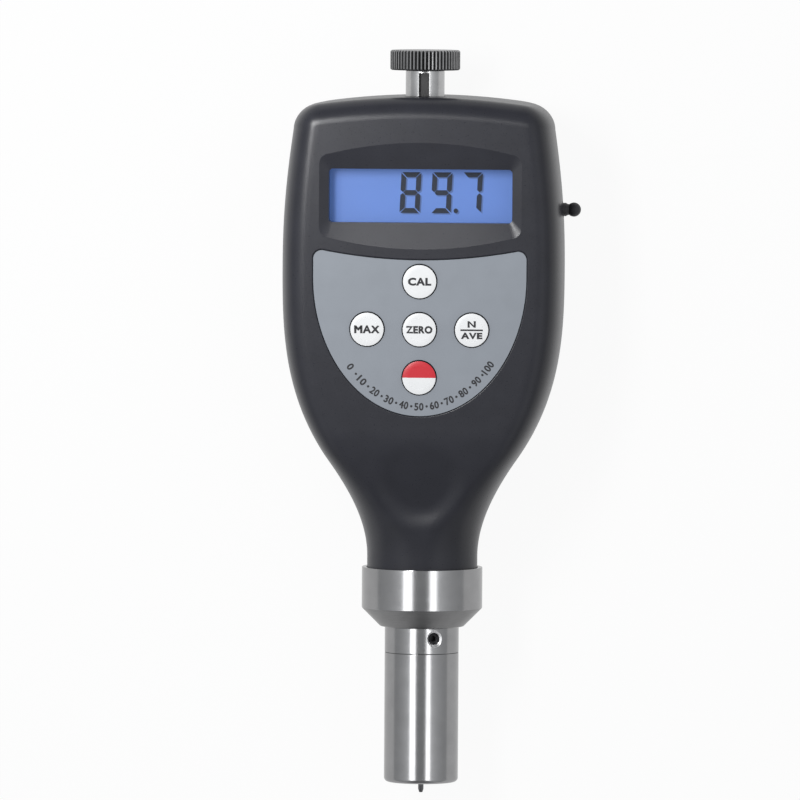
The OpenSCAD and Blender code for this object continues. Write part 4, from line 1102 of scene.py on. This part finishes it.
# %% Plug
BALL_R, BALL_X = 1.65, 34.72
ball = [(BALL_R * sin(radians(a)), BALL_X - BALL_R * cos(radians(a))) for a in range(48, 180, 12)]
plug = turned([(0, 21.6), (1.3, 21.6), (1.55, 21.85), (1.55, 32.9), (1.35, 33.2)] + ball
              + [(0, 36.37)], (0, PLUG_Y, AXIS_Z), ACROSS, 48)
place("rubber_plug", plug, "plug", ["plug_rubber"], ["jack_plug"], sharp=50)

# %% [markdown]
# ## Main spring
# The spring is a ring of wire carried round the axis by a spin that also climbs: a close turn at each
# end to sit flat, open turns between. A Screw modifier could do it, but with one climb only. Pressing
# the indenter shortens it.

# %% Spring
SPRING_LOW, SPRING_HIGH, WIRE_R, COIL_R = -72.25, -56.6, 0.52, 3.45
TURN_STEPS, OPEN_TURNS = 40, 5
spring = bmesh.new()
wire_end = Matrix.Translation((COIL_R, 0, SPRING_LOW + WIRE_R)) @ Matrix.Rotation(pi / 2, 4, "X")
bmesh.ops.create_circle(spring, cap_ends=True, segments=12, radius=WIRE_R, matrix=wire_end)
last = spring.edges[:]
close_turn = 2 * WIRE_R + 0.03
open_turn = (SPRING_HIGH - SPRING_LOW - 2 * WIRE_R - 2 * close_turn) / OPEN_TURNS
for turns, climb in ((1, close_turn), (OPEN_TURNS, open_turn), (1, close_turn)):
    made = bmesh.ops.spin(spring, geom=last, cent=(0, 0, 0), axis=UP,
                          dvec=(0, 0, climb / TURN_STEPS), angle=2 * pi * turns,
                          steps=TURN_STEPS * turns)
    last = of_kind(made["geom_last"], BMEdge)
bmesh.ops.contextual_create(spring, geom=last)
bmesh.ops.recalc_face_normals(spring, faces=spring.faces)
bmesh.ops.transform(spring, matrix=stood(ON_AXIS, ALONG), verts=spring.verts)
coil = place("coil_spring", spring, "case", ["spring_steel"], ["main_spring"],
             sharp=60)
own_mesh(coil)

# %% [markdown]
# ## Lights
# The photograph is a studio shot. Two tall softboxes either side of the camera run as white strips
# down the smooth steel, a small key light stands to the upper left, and the case has a glint and a
# soft top light of its own. A photographer keeps a lamp off a part with a flag. Light linking is
# that flag: a softbox lights only the pieces whose finish is named, and the key light skips the knob.

# %% Softboxes
def softbox(name, at, size, level):
    lamp = bpy.data.lights.new(name, "AREA")
    lamp.shape = "RECTANGLE"
    lamp.size, lamp.size_y = size
    lamp.energy = level * pi * size[0] * size[1]
    box = bpy.data.objects.new(name, lamp)
    away = Vector(at).normalized()
    side = Vector(ALONG).cross(away).normalized()
    box.matrix_world = Matrix((side, away.cross(side), away)).transposed().to_4x4()
    box.location = Vector(at)
    bpy.context.scene.collection.objects.link(box)
    return box


def softbox_on(looks, name, at, size, level):
    group = bpy.data.collections.new(name + "_pieces")
    lit_finishes = [finish[look] for look in looks]
    for piece in pieces:
        if piece.data.materials[0] in lit_finishes:
            group.objects.link(piece)
    softbox(name, at, size, level).light_linking.receiver_collection = group


SMOOTH = ["turned_steel", "post_steel", "indenter_steel"]
softbox_on(SMOOTH, "left_strip", (-0.43, -0.08, 1.0), (0.33, 0.6), 3.4)
softbox_on(SMOOTH + ["knurled_steel"], "right_strip", (0.45, -0.08, 1.0), (0.25, 0.6), 3.2)
key_light = softbox("key_light", (-0.090, 0.122, 0.27), (0.05, 0.12), 22.0)
softbox_on(["case_plastic"], "case_glint", (-0.070, 0.098, 0.14), (0.025, 0.05), 17.0)
flagged = bpy.data.collections.new("flagged_from_key_light")
flagged.objects.link(knob)
flagged.collection_objects[0].light_linking.link_state = "EXCLUDE"
key_light.light_linking.receiver_collection = flagged
softbox_on(["case_plastic"], "top_softbox", (-0.05, 0.25, 0.80), (0.5, 0.12), 3.2)

# %% [markdown]
# ## The studio's walls
# Softboxes spill on the walls, which then light the object from all round. A ramp over the direction
# does it: brightest where the softboxes stand, left and right, dimmer overhead and towards the ends.
# It is smoother than more lamps, and costs nothing.

# %% Spill of the softboxes on the studio's walls
SPILL = [(0.0, 0.42), (0.22, 0.42), (0.60, 1.02), (0.80, 0.76), (1.0, 0.56)]
SPILL_TINT = (0.97, 0.985)
world = bpy.data.worlds.new("studio")
bpy.context.scene.world = world
world.use_nodes = True
tree = world.node_tree
background = tree.nodes["Background"]
direction = add_node(tree, "ShaderNodeTexCoord")
axes = add_node(tree, "ShaderNodeSeparateXYZ")
across = add_node(tree, "ShaderNodeMath", operation="ABSOLUTE")
along = add_node(tree, "ShaderNodeMath", operation="ABSOLUTE")
spill = add_node(tree, "ShaderNodeValToRGB")
while len(spill.color_ramp.elements) < len(SPILL):
    spill.color_ramp.elements.new(0.5)
for stop, (reach, level) in zip(spill.color_ramp.elements, SPILL):
    stop.position = reach
    stop.color = (level * SPILL_TINT[0], level * SPILL_TINT[1], level, 1)
tree.links.new(direction.outputs["Generated"], axes.inputs["Vector"])
tree.links.new(axes.outputs["X"], across.inputs[0])
tree.links.new(axes.outputs["Y"], along.inputs[0])
tree.links.new(across.outputs["Value"], spill.inputs["Fac"])
tree.links.new(spill.outputs["Color"], background.inputs["Color"])
ends = spread(tree, along.outputs["Value"], 0.92, 0.6, 0.2, 0.6)
tree.links.new(ends, background.inputs["Strength"])
print("wall levels:", [level for _, level in SPILL])

# %% [markdown]
# ## The floor
# The gauge lies on white paper. Lighting the paper until it is white would wash out the gauge, so
# the paper glows a little for rays from the camera and from mirrors and glass, and stays plain paper
# for the rest. The small share of paper that is left in the mix keeps the shadow.

# %% Floor
FLOOR_HALF, PAPER, PAPER_ROUGH = 3.0, (0.9, 0.9, 0.9, 1), 0.9
GLOW_SHARE, GLOW_IN_MIRRORS = 0.93, 0.8
bm = bmesh.new()
bmesh.ops.create_grid(bm, x_segments=8, y_segments=8, size=FLOOR_HALF)
floor = linked("floor", as_mesh(bm, "floor"))
paper = bpy.data.materials.new("white_paper")
paper.use_nodes = True
tree = paper.node_tree
paper_shader = tree.nodes["Principled BSDF"]
paper_shader.inputs["Base Color"].default_value = PAPER
paper_shader.inputs["Roughness"].default_value = PAPER_ROUGH
glow = add_node(tree, "ShaderNodeEmission", Color=(1, 1, 1, 1))
rays = add_node(tree, "ShaderNodeLightPath")
glow_level = spread(tree, rays.outputs["Is Camera Ray"], GLOW_IN_MIRRORS, 1.0, 0.0, 1.0)
tree.links.new(glow_level, glow.inputs["Strength"])
mirrored = add_node(tree, "ShaderNodeMath", operation="MAXIMUM")
seen = add_node(tree, "ShaderNodeMath", operation="MAXIMUM")
tree.links.new(rays.outputs["Is Glossy Ray"], mirrored.inputs[0])
tree.links.new(rays.outputs["Is Transmission Ray"], mirrored.inputs[1])
tree.links.new(rays.outputs["Is Camera Ray"], seen.inputs[0])
tree.links.new(mirrored.outputs["Value"], seen.inputs[1])
share = spread(tree, seen.outputs["Value"], 0.0, GLOW_SHARE, 0.0, 1.0)
blend = add_node(tree, "ShaderNodeMixShader")
tree.links.new(share, blend.inputs["Fac"])
tree.links.new(paper_shader.outputs["BSDF"], blend.inputs[1])
tree.links.new(glow.outputs["Emission"], blend.inputs[2])
tree.links.new(blend.outputs["Shader"], tree.nodes["Material Output"].inputs["Surface"])
floor.data.materials.append(paper)
print("floor:", 2 * FLOOR_HALF, "m square")

# %% [markdown]
# ## The camera
# The camera looks straight down from far away, a little to the right and towards the knob, so lines
# stay almost parallel. A near camera would spread the collar's edges into stronger curves than the
# photograph shows. The lens is worked out from the distance and the width that fills the picture.

# %% Camera
SENSOR, FIELD, ROLL = 36.0, 0.1858, radians(0.35)
aim = Vector((-5.4, 5.0, AXIS_Z)) * MM
eye = Vector((155.0, 150.0, AXIS_Z + 2600.0)) * MM
view = (eye - aim).normalized()
right = Vector(ALONG).cross(view).normalized()
roll = Matrix.Rotation(ROLL, 3, view)
camera_data = bpy.data.cameras.new("camera")
camera_data.sensor_width = SENSOR
camera_data.lens = SENSOR * (eye - aim).length / FIELD
camera_data.clip_end = 20.0
camera = bpy.data.objects.new("camera", camera_data)
camera.matrix_world = Matrix((roll @ right, roll @ view.cross(right), view)).transposed().to_4x4()
camera.location = eye
bpy.context.scene.collection.objects.link(camera)
bpy.context.scene.camera = camera
bpy.context.scene.view_settings.view_transform = "Standard"
print("camera distance:", round((eye - aim).length, 3), "lens:", round(camera_data.lens, 1))

# %% [markdown]
# ## Finishes for the CAD pieces that stay
# The display, the board, the cells and the inner parts of the probe keep the shape that the CAD model
# gives them, because it already has what shows of them. Each gets the finish of its slot in the
# record, so one loop does for all.

# %% Assign finishes by slot
slots = {part["node"]: part["material_slot"] for part in frame["record"]["subparts"]}
for name, node in nodes.items():
    node.data.materials.clear()
    node.data.materials.append(finish[slots[name]])
print("CAD pieces dressed:", len(slots))
